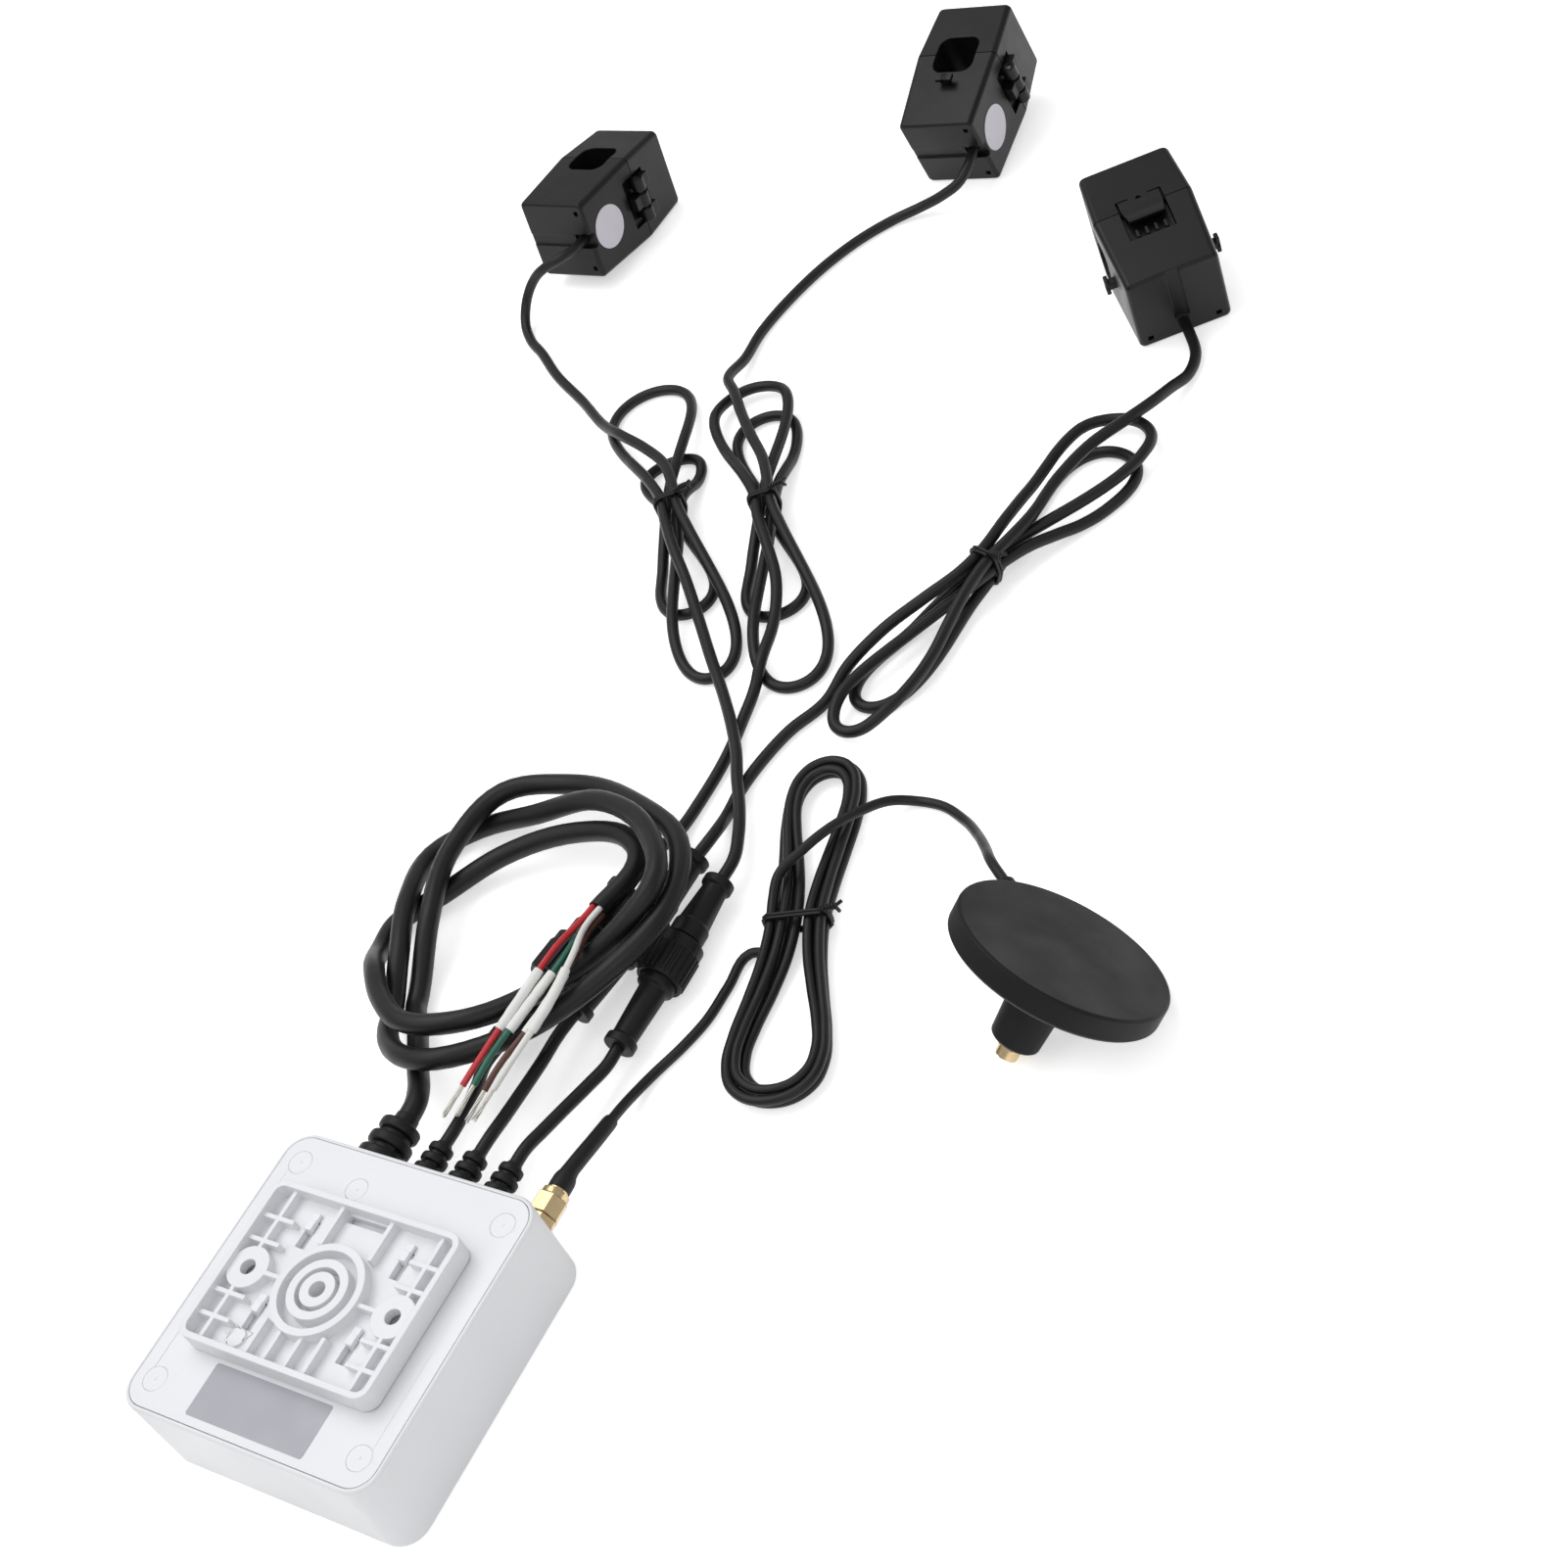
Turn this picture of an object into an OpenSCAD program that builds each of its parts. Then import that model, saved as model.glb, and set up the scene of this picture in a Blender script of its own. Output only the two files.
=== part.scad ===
// Smart energy monitor lying on a table with its front face down: a square wall-mounted
// metering box, its wall bracket, three split-core current clamps on tied-up leads with
// screw connectors, a coiled mains lead with bare wire ends and a wired antenna base.
// Origin at the middle of the front face, +Y towards the outlets, +Z up from the table.

/* [Housing] */
// Width of the housing along its outlet wall
body_w = 86; // [82:1:96]
// Length of the housing square to its outlet wall
body_l = 86; // [82:1:96]
// Depth of the housing from front face to back cover
body_h = 30; // [28:1:36]
// Thickness of the shell's side walls
wall = 2; // [1.8:0.1:2.6]
// Radius of the housing's upright corners
corner_r = 8; // [7:0.5:10]
// Radius of the rounded edge round the front face
front_r = 2.5; // [1.5:0.5:3.5]
// Thickness of the back cover
cover_t = 2.2; // [2:0.1:3]
// Width of the shell's rim left outside the back cover
rim_w = 1.2; // [1:0.1:1.4]
// Radius of the rounded outer edge of that rim
rim_r = 0.9; // [0.5:0.1:0.9]
// Clearance round fixed pieces that drop into a pocket
fit = 0.15; // [0.1:0.05:0.25]
// Radius of the four plugs over the cover screws
plug_r = 3.5; // [3:0.1:4]

/* [Wall bracket] */
// Width of the bracket's rim
bracket_w = 64.6; // [60:0.5:68]
// Length of the bracket's rim
bracket_l = 48.4; // [46:0.5:50]
// Height of the bracket above the back cover
bracket_h = 7; // [6.5:0.5:9]
// Thickness of the bracket's base plate
plate_t = 2.2; // [1.8:0.1:2.8]
// Distance between the two wall screw holes
screw_pitch = 50; // [46:1:52]
// Radius of each wall screw hole
screw_hole_r = 2.2; // [1.8:0.1:2.6]
// Sliding clearance between bracket and hooks
slide_gap = 0.25; // [0.2:0.05:0.4]
// Distance the bracket slides to come off its hooks
slide_travel = 4; // [3:0.5:5]

/* [Outlets] */
// Height of the outlet axes above the table
outlet_z = 15; // [13:0.5:17]
// Distance the mains strain relief stands out
gland_l = 19; // [17:1:22]
// Distance each clamp lead's strain relief stands out
small_gland_l = 14.5; // [13:0.5:16]
// Distance across the flats of the antenna socket's nut
sma_af = 8; // [7.5:0.5:9]
// Radius of the antenna socket's thread
sma_r = 3.15; // [3:0.05:3.3]
// Running clearance of the coupling nuts
run_gap = 0.08; // [0.05:0.01:0.1]

/* [Current clamps] */
// Length of a clamp from cable end to the split
clamp_body = 31.5; // [29:0.5:33]
// Length of a clamp's hinged cap
clamp_cap_l = 24; // [22:0.5:26]
// Width of a clamp across hinge and latch, at its ends
clamp_w = 29.5; // [28:0.5:32]
// Thickness of a clamp along its hole, at its ends
clamp_t = 31.5; // [28:0.5:34]
// Bulge of each face from the ends to the split
clamp_bulge = 1.3; // [0.8:0.1:1.6]
// Width of the square hole for the conductor
clamp_hole = 16; // [14:0.5:16]
// Radius of the hinge pin
pin_r = 1.1; // [0.9:0.05:1.3]
// Radius of the hinge knuckles
knuckle_r = 2.6; // [2.3:0.1:2.9]
// Height of the hooks beside the hole
wing_h = 3.3; // [3:0.1:4]

/* [Screw connectors] */
// Radius of the ribbed coupling nut
nut_r = 7.5; // [7:0.1:8]
// Length of the coupling nut
nut_l = 14; // [12:0.5:15]
// Length of a connector from flange to flange
conn_l = 60; // [58:1:66]
// Radius of the connector's end flanges
flange_r = 4.7; // [4.4:0.1:5.2]

/* [Antenna base] */
// Radius of the magnetic disc
disc_r = 30; // [28:0.5:32]
// Thickness of the disc's rim
disc_t = 7.5; // [6:0.5:8]
// Distance from the disc's face to the tip of the antenna socket
disc_tip = 35; // [33:0.5:37]

/* [Cords] */
// Diameter of the clamp leads
lead_d = 3.8; // [3.4:0.1:4]
// Diameter of the mains lead
mains_d = 6; // [5.6:0.1:6.2]
// Diameter of the antenna lead
coax_d = 3; // [2.6:0.1:3.1]
// Diameter of the four wires inside the mains lead
wire_d = 1.9; // [1.6:0.1:2.1]

/* [Hidden] */
$fn = 48;

// Housing levels and places
floor_t = wall + 0.2;
cover_z = body_h - cover_t;
plug_x = body_w / 2 - 7.8;
plug_y = body_l / 2 - 9.2;
small_plug = [-13, body_l / 2 - 11.8];
small_plug_r = 3.3;
label_at = [0, 11.2 - body_l / 2];
label_w = 40;
label_l = 15;
boss_r = 4.2;
screw_r = 1.5;
screw_l = 8;
head_r = 2.7;
outlet_y = body_l / 2;
power_x = 18 - body_w / 2;
pig_x = [16, -8.5, 3.5];
sma_x = body_w / 2 - 10;
plate_z = body_h + slide_gap;
rim_z = body_h + bracket_h;
hook_x = 16.3;
hook_y = [16.5, -8.5];
hook_w = 2.4;
hook_l = 3;
hook_lip = 2.2;
slot_w = 15;
rib_t = 1.3;
bracket_y = 1;
pad_r = 6.2;
board_z = 9;
board_t = 1.6;
board_side = 6;
board_end = 15;
board_w = body_w - 2 * board_side;
board_l = body_l - 2 * board_end;
post_x = board_w / 2 - 5;
post_y = board_l / 2 - 6;
button_at = [0, -25];
button_r = 4;
button_travel = 0.6;
pipe_at = [12, -25];
trafo = [22, 19, 13];
trafo_at = [15 + board_side - body_w / 2, 16 + board_end - body_l / 2];
cap_at = [[trafo_at[0], trafo_at[1] + 20, 5], [trafo_at[0] + 12, trafo_at[1] + 20, 4],
          [trafo_at[0] + 22, trafo_at[1] - 2, 4]];
cap_h = 12;
radio = [20, 16, 3];
radio_at = [board_w / 2 - 17, board_l / 2 - 18];

// Clamp levels: x towards the hinge, y from cable end to cap, z along the hole
split = 0.1;
hinge_x = clamp_w / 2 + clamp_bulge + 1.6;
hinge_y = clamp_body;
lug = 2.7;
lug_gap = 0.8;
lug_out = 8.8;
pocket_x = clamp_w / 2 - 0.6;
pocket_z = lug_out + 0.9;
tab_z = 7;
tab_y = 7;
core_in = clamp_hole / 2 + 1.3;
core_out = core_in + 3;
core_z = 11;
cap_end = clamp_body + clamp_cap_l;
exit_x = 9.5;
sticker_r = 8.2;
wing_y = 18.7;
wing_half = 1.5;
wing_foot = clamp_t / 2 + clamp_bulge * wing_y / clamp_body + wing_h;
end_cut = 1.2;
cap_cut = 1.8;

// Resting tilts of the three clamps, found from the two edges that touch the table
tilt_1 = -atan((wing_foot - clamp_t / 2) / (cap_end - cap_cut - wing_y - wing_half));
tilt_2 = atan((wing_foot - clamp_t / 2) / (wing_y - wing_half - end_cut));
hinge_far = norm([hinge_y - end_cut, hinge_x - clamp_w / 2]);
tilt_3 = atan((hinge_x - clamp_w / 2) / (hinge_y - end_cut)) + asin(knuckle_r / hinge_far);
lift_1 = wing_foot * cos(tilt_1) - (wing_y + wing_half) * sin(tilt_1);
lift_2 = clamp_t / 2 * cos(tilt_2) - end_cut * sin(tilt_2);
lift_3 = clamp_w / 2 * cos(tilt_3) - end_cut * sin(tilt_3);
clamp_at = [[-197, 422.5, lift_1], [-61.7, 488.2, lift_2], [61, 414, lift_3]];
clamp_yaw = [0, 4.7, 38.3];

// Connector places: middle of each nut and its heading from +Y
conn_at = [[19, 133], [-14, 125], [3, 140]];
conn_yaw = [0, -7, -7];

disc_edge = 1;
stem = disc_tip - 4.8;
stem_r = 6.9;

// Antenna base place: middle of its face, lean heading and angle from its two touching edges
disc_lean = atan((disc_tip - disc_t) / (disc_r - disc_edge - sma_r));
disc_head = 54;
disc_at = [141, 152.2, (disc_r - disc_edge) * sin(disc_lean) + disc_t * cos(disc_lean)];
boss_turn = 5;

// Hanks of the clamp leads: tie, heading of the upper end, lobes as length and half width
hank_tie = [[-82, 305], [-47, 311], [44, 296]];
hank_head = [127.4, 123.1, 73.3];
hank_low_big = [[82, 10], [83, 12], [72, 9.5]];
hank_up_small = [[33, 9.5], [55, 10], [62, 12]];
hank_low_small = [[48, 8.5], [48, 9.5], [60, 8.5]];
hank_up_big = [[77, 15], [71, 13.5], [74, 14]];
hank_slot = lead_d + 0.8;
hank_step = lead_d + 0.7;
hank_foot = 1.1;
tie_low = 0.9;

// Antenna lead hank
coil4_tie = [47, 162];
coil4_head = 110;
coil4_half = 62.5;
coil4_mid = -4.5;
coil4_waist = 8.4;
coil4_pitch = coax_d + 0.55;

// Mains coil
coil_pitch = mains_d + 0.4;
coil_z = mains_d / 2 + 0.2;
coil_rise = 0.19;
coil_in = unit([-0.42, 0.91, 0]);
// Its lay: x, y and how many strands it lies on
coil_way = [
  [-57.4, 105.4, -0.45], [-63.9, 126.7, 0.95], [-73.7, 154.4, 1.08], [-69, 176.7, 0.92],
  [-49.7, 185.1, 0.15], [-17, 179, 0], [11.2, 162, 0], [19, 140.7, 0], [11.4, 116.2, 0],
  [-6.2, 93.4, 0.1], [-28.4, 77.8, 1], [-40.3, 79.1, 0.9], [-52.2, 86.6, 0.5], [-59, 96.3, 0.15],
  [-65.5, 111.6, 0.95], [-77, 132, 1.1], [-84.2, 156.8, 0.15], [-79, 164, 0.05], [-53.8, 172, 0.25],
  [-26.3, 174.3, 1.05], [0.9, 163.2, 1.05], [15, 143.6, 1], [10.4, 132.4, 0.5], [4.2, 125.2, 0.05],
  [-7.9, 109.6, 0], [-22.3, 91.8, 1.1], [-42.4, 86.9, 1.7], [-54.2, 92.6, 1.8], [-66, 102.6, 1.68],
  [-79.4, 116.8, 0.4], [-82, 126.3, 0.12], [-72.1, 140.4, 0], [-58.2, 156.2, 0], [-33.7, 167, 0],
  [-12, 165.8, 0], [-4.6, 160.8, 0], [-1.2, 155, 0.1], [-2.6, 136.7, 0.45]];

// Small vector tools
function unit(v) = v / norm(v);
function smooth(t) = let (c = min(1, max(0, t))) c * c * (3 - 2 * c);
function mix(a, b, t) = a + (b - a) * t;
function side(v) = abs(v[2]) < 0.9 ? unit(cross(v, [0, 0, 1])) : unit(cross(v, [1, 0, 0]));
function curve(a, b, c, d, t) =
  0.5 * (2 * b + (c - a) * t + (2 * a - 5 * b + 4 * c - d) * t * t + (3 * b - a - 3 * c + d) * t * t * t);

// Smooth path through hand-chosen points with a ring about every step
function path(p, step) =
  let (n = len(p))
  concat([for (i = [0 : n - 2])
            let (k = max(1, ceil(norm(p[i + 1] - p[i]) / step)))
            for (j = [0 : k - 1])
              curve(p[max(i - 1, 0)], p[i], p[i + 1], p[min(i + 2, n - 1)], j / k)],
         [p[n - 1]]);
function headings(q, a, b) =
  let (n = len(q))
  [for (i = [0 : n - 1]) i == 0 ? unit(a) : i == n - 1 ? unit(b) : unit(q[i + 1] - q[i - 1])];
function frames(t, i, v, out) =
  i == len(t) ? out
  : let (w = i == 0 ? side(t[0]) : unit(v - (v * t[i]) * t[i]))
    frames(t, i + 1, w, concat(out, [w]));

// Round tube swept along rings, with square ends
module sweep(q, d, sides, a, b) {
  t = headings(q, a, b);
  v = frames(t, 0, [0, 0, 1], []);
  n = len(q);
  pts = [for (i = [0 : n - 1])
           let (w = cross(t[i], v[i]))
           for (k = [0 : sides - 1])
             q[i] + d / 2 * (cos(k * 360 / sides) * v[i] + sin(k * 360 / sides) * w)];
  walls = [for (i = [0 : n - 2])
             for (k = [0 : sides - 1])
               let (a0 = i * sides + k)
               let (a1 = i * sides + (k + 1) % sides)
               for (f = [[a0, a0 + sides, a1], [a1, a0 + sides, a1 + sides]]) f];
  near = [for (k = [1 : sides - 2]) [0, k, k + 1]];
  far = [for (k = [1 : sides - 2]) [(n - 1) * sides, (n - 1) * sides + k + 1, (n - 1) * sides + k]];
  polyhedron(points = pts, faces = concat(walls, near, far), convexity = 8);
}
module tube(p, d, sides, step) {
  n = len(p);
  sweep(path(p, step), d, sides, p[1] - p[0], p[n - 1] - p[n - 2]);
}
function near_gap(q, d, skip) =
  min([for (i = [0 : len(q) - 1]) for (j = [i + skip : 1 : len(q) - 1]) norm(q[i] - q[j])]) - d;

// Points of a clamp lead's hank in its own frame: u along it, v across it, z up
function hank_level(k) = lead_d / 2 + hank_foot + k * hank_step;
function lobe(s, up, big, small, v0, v1, z0, z1) =
  let (u = big[0] * pow(sin(180 * s), 0.75))
  let (e = smooth(min(s, 1 - s) / 0.16))
  let (far = smooth((u - small[0]) / (big[0] - small[0] + 0.01)))
  let (top = small[0] == 0 ? lead_d / 2
             : lead_d / 2 + hank_step * (1 - far * min(1, (big[0] - small[0]) / 30)))
  [up * u, mix(v0, v1, smooth(s)) + big[1] * sin(360 * s), mix(s < 0.5 ? z0 : z1, top, e)];
function hank_uv(k, n) =
  let (g = hank_slot / 2)
  let (none = [0, 0])
  concat([for (i = [0 : n - 1]) lobe(i / n, -1, hank_low_big[k], hank_low_small[k], g, g,
                                     hank_level(2), hank_level(1))],
         [for (i = [0 : n - 1]) lobe(i / n, 1, hank_up_small[k], none, g, 0,
                                     hank_level(1), hank_level(0))],
         [for (i = [0 : n - 1]) lobe(i / n, -1, hank_low_small[k], none, 0, -g,
                                     hank_level(0), hank_level(1))],
         [for (i = [0 : n]) lobe(i / n, 1, hank_up_big[k], hank_up_small[k], -g, -g,
                                 hank_level(1), hank_level(2))]);
function hank_place(k, p) =
  let (h = hank_head[k])
  [hank_tie[k][0] + p[0] * cos(h) + p[1] * sin(h), hank_tie[k][1] + p[0] * sin(h) - p[1] * cos(h), p[2]];
function hank_points(k, n) = [for (p = hank_uv(k, n)) hank_place(k, p)];

// Points of the antenna lead's hank: two loops inward, then two outward on top
function coil4_uv(t) =
  let (a = 270 + 1440 * t)
  let (o = -coil4_pitch * 2 * (1 - abs(1 - 2 * t)))
  let (b = cos(a) > 0 ? 17 : 24)
  let (u = (coil4_half + o) * cos(a) + coil4_mid)
  let (lift = hank_foot * (1 - smooth(abs(u - coil4_mid) / 22)))
  [u, (coil4_waist + o + b * cos(a) * cos(a)) * sin(a),
   coax_d / 2 + lift + coil4_pitch * smooth((t - 0.5) / 0.125 + 0.5)];
function coil4_place(p) =
  [coil4_tie[0] + p[0] * cos(coil4_head) + p[1] * sin(coil4_head),
   coil4_tie[1] + p[0] * sin(coil4_head) - p[1] * cos(coil4_head), p[2]];
function coil4_points(n) = [for (i = [0 : n]) coil4_place(coil4_uv(i / n))];

// Points of the mains coil, which rises towards the connectors it lies on
coil_line = [for (p = coil_way) [p[0], p[1], coil_z + coil_rise * max(0, p[0] + 80) + coil_pitch * p[2]]];
coil_first = coil_line[0];
coil_last = coil_line[len(coil_line) - 1];
coil_out = unit(coil_last - coil_line[len(coil_line) - 2]);

// Clamp and connector frames
module clamp_pose(k) {
  translate(clamp_at[k]) rotate([0, 0, clamp_yaw[k]])
    rotate([k == 0 ? tilt_1 : k == 1 ? tilt_2 : tilt_3, 0, 0]) rotate([0, k == 2 ? 90 : 0, 0]) children();
}
function turn_x(p, a) = [p[0], p[1] * cos(a) - p[2] * sin(a), p[1] * sin(a) + p[2] * cos(a)];
function turn_y(p, a) = [p[0] * cos(a) + p[2] * sin(a), p[1], p[2] * cos(a) - p[0] * sin(a)];
function turn_z(p, a) = [p[0] * cos(a) - p[1] * sin(a), p[0] * sin(a) + p[1] * cos(a), p[2]];
function clamp_dir(k, p) =
  turn_z(turn_x(turn_y(p, k == 2 ? 90 : 0), k == 0 ? tilt_1 : k == 1 ? tilt_2 : tilt_3), clamp_yaw[k]);
function clamp_point(k, p) = clamp_at[k] + clamp_dir(k, p);
module conn_pose(k) {
  translate([conn_at[k][0], conn_at[k][1], nut_r])
    rotate([0, 0, conn_yaw[k]]) rotate([-90, 0, 0]) children();
}
function conn_point(k, h) =
  [conn_at[k][0] - h * sin(conn_yaw[k]), conn_at[k][1] + h * cos(conn_yaw[k]), nut_r];
function disc_dir(p) = turn_z(turn_y(p, disc_lean), disc_head);
function disc_point(p) = disc_at + disc_dir(p);
module disc_pose() {
  translate(disc_at) rotate([0, 0, disc_head]) rotate([0, disc_lean, 0]) children();
}

// Hand-chosen route points of the free cords
lead_1_pts = concat(
  [clamp_point(0, [exit_x, 2.2, 0]), clamp_point(0, [exit_x, -6, 0])],
  [[-190, 410.5, 23.5], [-196, 407.5, 21.5], [-203, 406, 16.5], [-207.5, 402, 9.5], [-207, 396, 4],
   [-201, 389, 2], [-191, 382, 2], [-177, 371, 2], [-157, 358.5, 2.2]],
  [hank_place(0, [62, -19, 6]), hank_place(0, [48, -13, 10]), hank_place(0, [34, -5, 11]),
   hank_place(0, [20, 1, 11.6]), hank_place(0, [9, hank_slot / 2, hank_level(2)]),
   hank_place(0, [0, hank_slot / 2, hank_level(2)])]);
lead_2_pts = concat(
  [clamp_point(1, [exit_x, 2.2, 0]), clamp_point(1, [exit_x, -6, 0])],
  [[-54, 477, 10.5], [-60, 473.5, 7.5], [-69, 471, 4], [-78, 466, 2.2], [-86, 456, 2], [-93, 442, 2],
   [-99, 421, 2], [-101.5, 401, 2], [-99, 385, 3.5]],
  [hank_place(1, [76, -9, 7.6]), hank_place(1, [66, -7, 9]), hank_place(1, [52, -5, 9.6]),
   hank_place(1, [36, -2, 10.6]), hank_place(1, [20, 1.5, 11.6]),
   hank_place(1, [9, hank_slot / 2, hank_level(2)]), hank_place(1, [0, hank_slot / 2, hank_level(2)])]);
lead_3_pts = concat(
  [clamp_point(2, [exit_x, 2.2, 0]), clamp_point(2, [exit_x, -6, 0])],
  [[68.5, 403, 2.6], [70, 393, 2.6], [68.5, 384, 5]],
  [hank_place(2, [80, 0, 8.4]), hank_place(2, [70, -1, 9.6]), hank_place(2, [56, -4, 10]),
   hank_place(2, [38, -3, 10.6]), hank_place(2, [20, 1.5, 11.6]),
   hank_place(2, [9, hank_slot / 2, hank_level(2)]), hank_place(2, [0, hank_slot / 2, hank_level(2)])]);
tail_1_pts = concat(
  [hank_place(0, [0, -hank_slot / 2, hank_level(2)]), hank_place(0, [-8, -hank_slot / 2, hank_level(2)]),
   hank_place(0, [-22, -1.5, 11.6]), hank_place(0, [-40, 0.5, 9.4]), hank_place(0, [-60, 2, 7.2]),
   hank_place(0, [-80, 3.5, 7])],
  [[-20, 232, 6.4], [-9, 219, 6.6], [-2, 209.5, 6.6], [3, 201, 6.6], [9.5, 191, 6.4], [15, 181, 6.8]],
  [conn_point(0, conn_l / 2 + 8), conn_point(0, conn_l / 2)]);
tail_2_pts = concat(
  [hank_place(1, [0, -hank_slot / 2, hank_level(2)]), hank_place(1, [-8, -hank_slot / 2, hank_level(2)]),
   hank_place(1, [-22, -0.5, 11.6]), hank_place(1, [-40, 1, 9.4]), hank_place(1, [-58, -2, 7.4]),
   hank_place(1, [-74, -7.5, 7.2])],
  [[-12.5, 239, 4], [-11, 226, 2], [-8.5, 210, 2], [-8, 195, 2], [-8, 180, 3]],
  [conn_point(1, conn_l / 2 + 10), conn_point(1, conn_l / 2)]);
tail_3_pts = concat(
  [hank_place(2, [0, -hank_slot / 2, hank_level(2)]), hank_place(2, [-8, -hank_slot / 2, hank_level(2)]),
   hank_place(2, [-22, -6, 11.2]), hank_place(2, [-36, -12, 8]), hank_place(2, [-50, -16, 3.5])],
  [[13, 238, 2], [7, 225, 2], [4, 212, 2], [3, 200, 2], [4, 191, 2.4]],
  [conn_point(2, conn_l / 2 + 9), conn_point(2, conn_l / 2)]);
pig_1_pts = concat(
  [[pig_x[0], outlet_y + small_gland_l, outlet_z], [pig_x[0], outlet_y + small_gland_l + 4, outlet_z]],
  [[15.5, 71, 11.5], [14.8, 80, 8.2], [16, 89, 7.4]],
  [conn_point(0, -conn_l / 2 - 6), conn_point(0, -conn_l / 2)]);
pig_2_pts = concat(
  [[pig_x[1], outlet_y + small_gland_l, outlet_z], [pig_x[1], outlet_y + small_gland_l + 4, outlet_z]],
  [[-11, 70.5, 11], [-15, 79, 8]], [conn_point(1, -conn_l / 2 - 7), conn_point(1, -conn_l / 2)]);
pig_3_pts = concat(
  [[pig_x[2], outlet_y + small_gland_l, outlet_z], [pig_x[2], outlet_y + small_gland_l + 4, outlet_z]],
  [[1.5, 71, 10.5], [-1.5, 81, 6.5], [-3, 92, 6.2]],
  [conn_point(2, -conn_l / 2 - 7), conn_point(2, -conn_l / 2)]);
power_pts = concat(
  [[power_x, outlet_y + gland_l, outlet_z], [power_x, outlet_y + gland_l + 5, outlet_z]],
  [[power_x - 3.8, 72.6, 13.2], [power_x - 10, 78.6, 11.6], [-42, 87, 9.8], [-49, 94.6, 7]],
  [coil_first - 5 * coil_in, coil_first]);
sleeve_pts = [[sma_x, outlet_y + 13.5, outlet_z], [sma_x, outlet_y + 18, outlet_z],
              [sma_x - 0.6, outlet_y + 27, outlet_z - 2.6], [sma_x - 2.4, outlet_y + 37.5, outlet_z - 6.8]];
sleeve_end = unit(sleeve_pts[3] - sleeve_pts[2]);
coax_in_pts = concat(
  [sleeve_pts[3], sleeve_pts[3] + 5.6 * sleeve_end, [29, 92, 3.6], [30, 101, 1.7],
   [33.5, 111, 1.6], [36, 121, 1.6], [36.5, 133, 1.6], [37.5, 145, 2]],
  [coil4_place([coil4_mid - 8, -coil4_waist, coax_d / 2 + 0.9]), coil4_place(coil4_uv(0))]);
coax_out_pts = concat(
  [coil4_place(coil4_uv(1)), coil4_place([2, -coil4_waist - 0.2, 6.8]), coil4_place([9, -7.2, 9.2]),
   coil4_place([16, -1, 10.4]), coil4_place([24, 7, 10.4]), coil4_place([31, 15, 8.4]),
   coil4_place([37, 22, 4.4])],
  [[61, 207.5, 1.8], [69, 207.5, 1.6], [79, 203, 3], [89, 195, 8], [98, 186, 15]],
  [disc_point(coax_boss(13)), disc_point(coax_boss(4))]);
function coax_boss(h) =
  [(disc_r + h) * sin(boss_turn), (disc_r + h) * cos(boss_turn), -disc_t / 2];

// Wires of the mains lead, from its cut end to their bare tips
wire_at = [[-1.25, 1.25], [1.25, 1.25], [-1.25, -1.25], [1.25, -1.25]];
function wire_root(i, h) =
  coil_last + h * coil_out + wire_at[i][0] * [1, 0, 0] + wire_at[i][1] * [0, 0, 1];
wire_ways = [
  [[-4, 118.5, 26], [-5.2, 101, 25.4], [-8.5, 80.7, 22.2], [-10.2, 73, 20.1]],
  [[4, 116, 27.2], [5.2, 100, 26.2], [1.9, 80.7, 22.6], [0.3, 74, 20.7]],
  [[-0.6, 117, 24.6], [-2.4, 100.5, 24.2], [-6.2, 81.2, 21.6], [-6.8, 74, 20.2]],
  [[2.8, 118, 24.8], [2.8, 99, 24], [-1.9, 79.9, 21.4], [-2.9, 73.5, 19.8]]];
wire_hues = ["firebrick", "whitesmoke", "teal", "saddlebrown"];
wire_bare = 10;
function wire_path(i) = path(concat([wire_root(i, 0), wire_root(i, 5)], wire_ways[i]), 5);
function wire_end(i) = let (p = wire_ways[i]) unit(p[3] - p[2]);

// Rounded plates
module rrect(w, l, r) {
  square([w - 2 * r, l], center = true);
  square([w, l - 2 * r], center = true);
  for (x = [-1, 1])
    for (y = [-1, 1])
      translate([x * (w / 2 - r), y * (l / 2 - r)]) circle(r);
}
module rplate(w, l, h, r) {
  linear_extrude(h) rrect(w, l, r);
}
module soft_edge(w, l, r, f) {
  for (s = [-1, 1]) {
    translate([0, s * (l / 2 - f), 0]) rotate([0, 90, 0]) cylinder(r = f, h = w - 2 * r, center = true);
    translate([s * (w / 2 - f), 0, 0]) rotate([90, 0, 0]) cylinder(r = f, h = l - 2 * r, center = true);
  }
  for (a = [0, 90, 180, 270])
    translate([(a == 0 || a == 270 ? 1 : -1) * (w / 2 - r), (a < 180 ? 1 : -1) * (l / 2 - r), 0])
      rotate([0, 0, a]) rotate_extrude(angle = 90) translate([r - f, 0]) circle(f);
}
module soft_box(w, l, h, r, f, g) {
  translate([0, 0, f]) rplate(w, l, h - f - g, r);
  rplate(w - 2 * f, l - 2 * f, f + 0.5, r - f);
  translate([0, 0, f]) soft_edge(w, l, r, f);
  translate([0, 0, h - g - 0.5]) rplate(w - 2 * g, l - 2 * g, g + 0.5, r - g);
  translate([0, 0, h - g]) soft_edge(w, l, r, g);
}
module at_plugs() {
  for (x = [-1, 1])
    for (y = [-1, 1])
      translate([x * plug_x, y * plug_y, 0]) children();
}
module out_y(x) {
  translate([x, outlet_y, outlet_z]) rotate([-90, 0, 0]) children();
}

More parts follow.
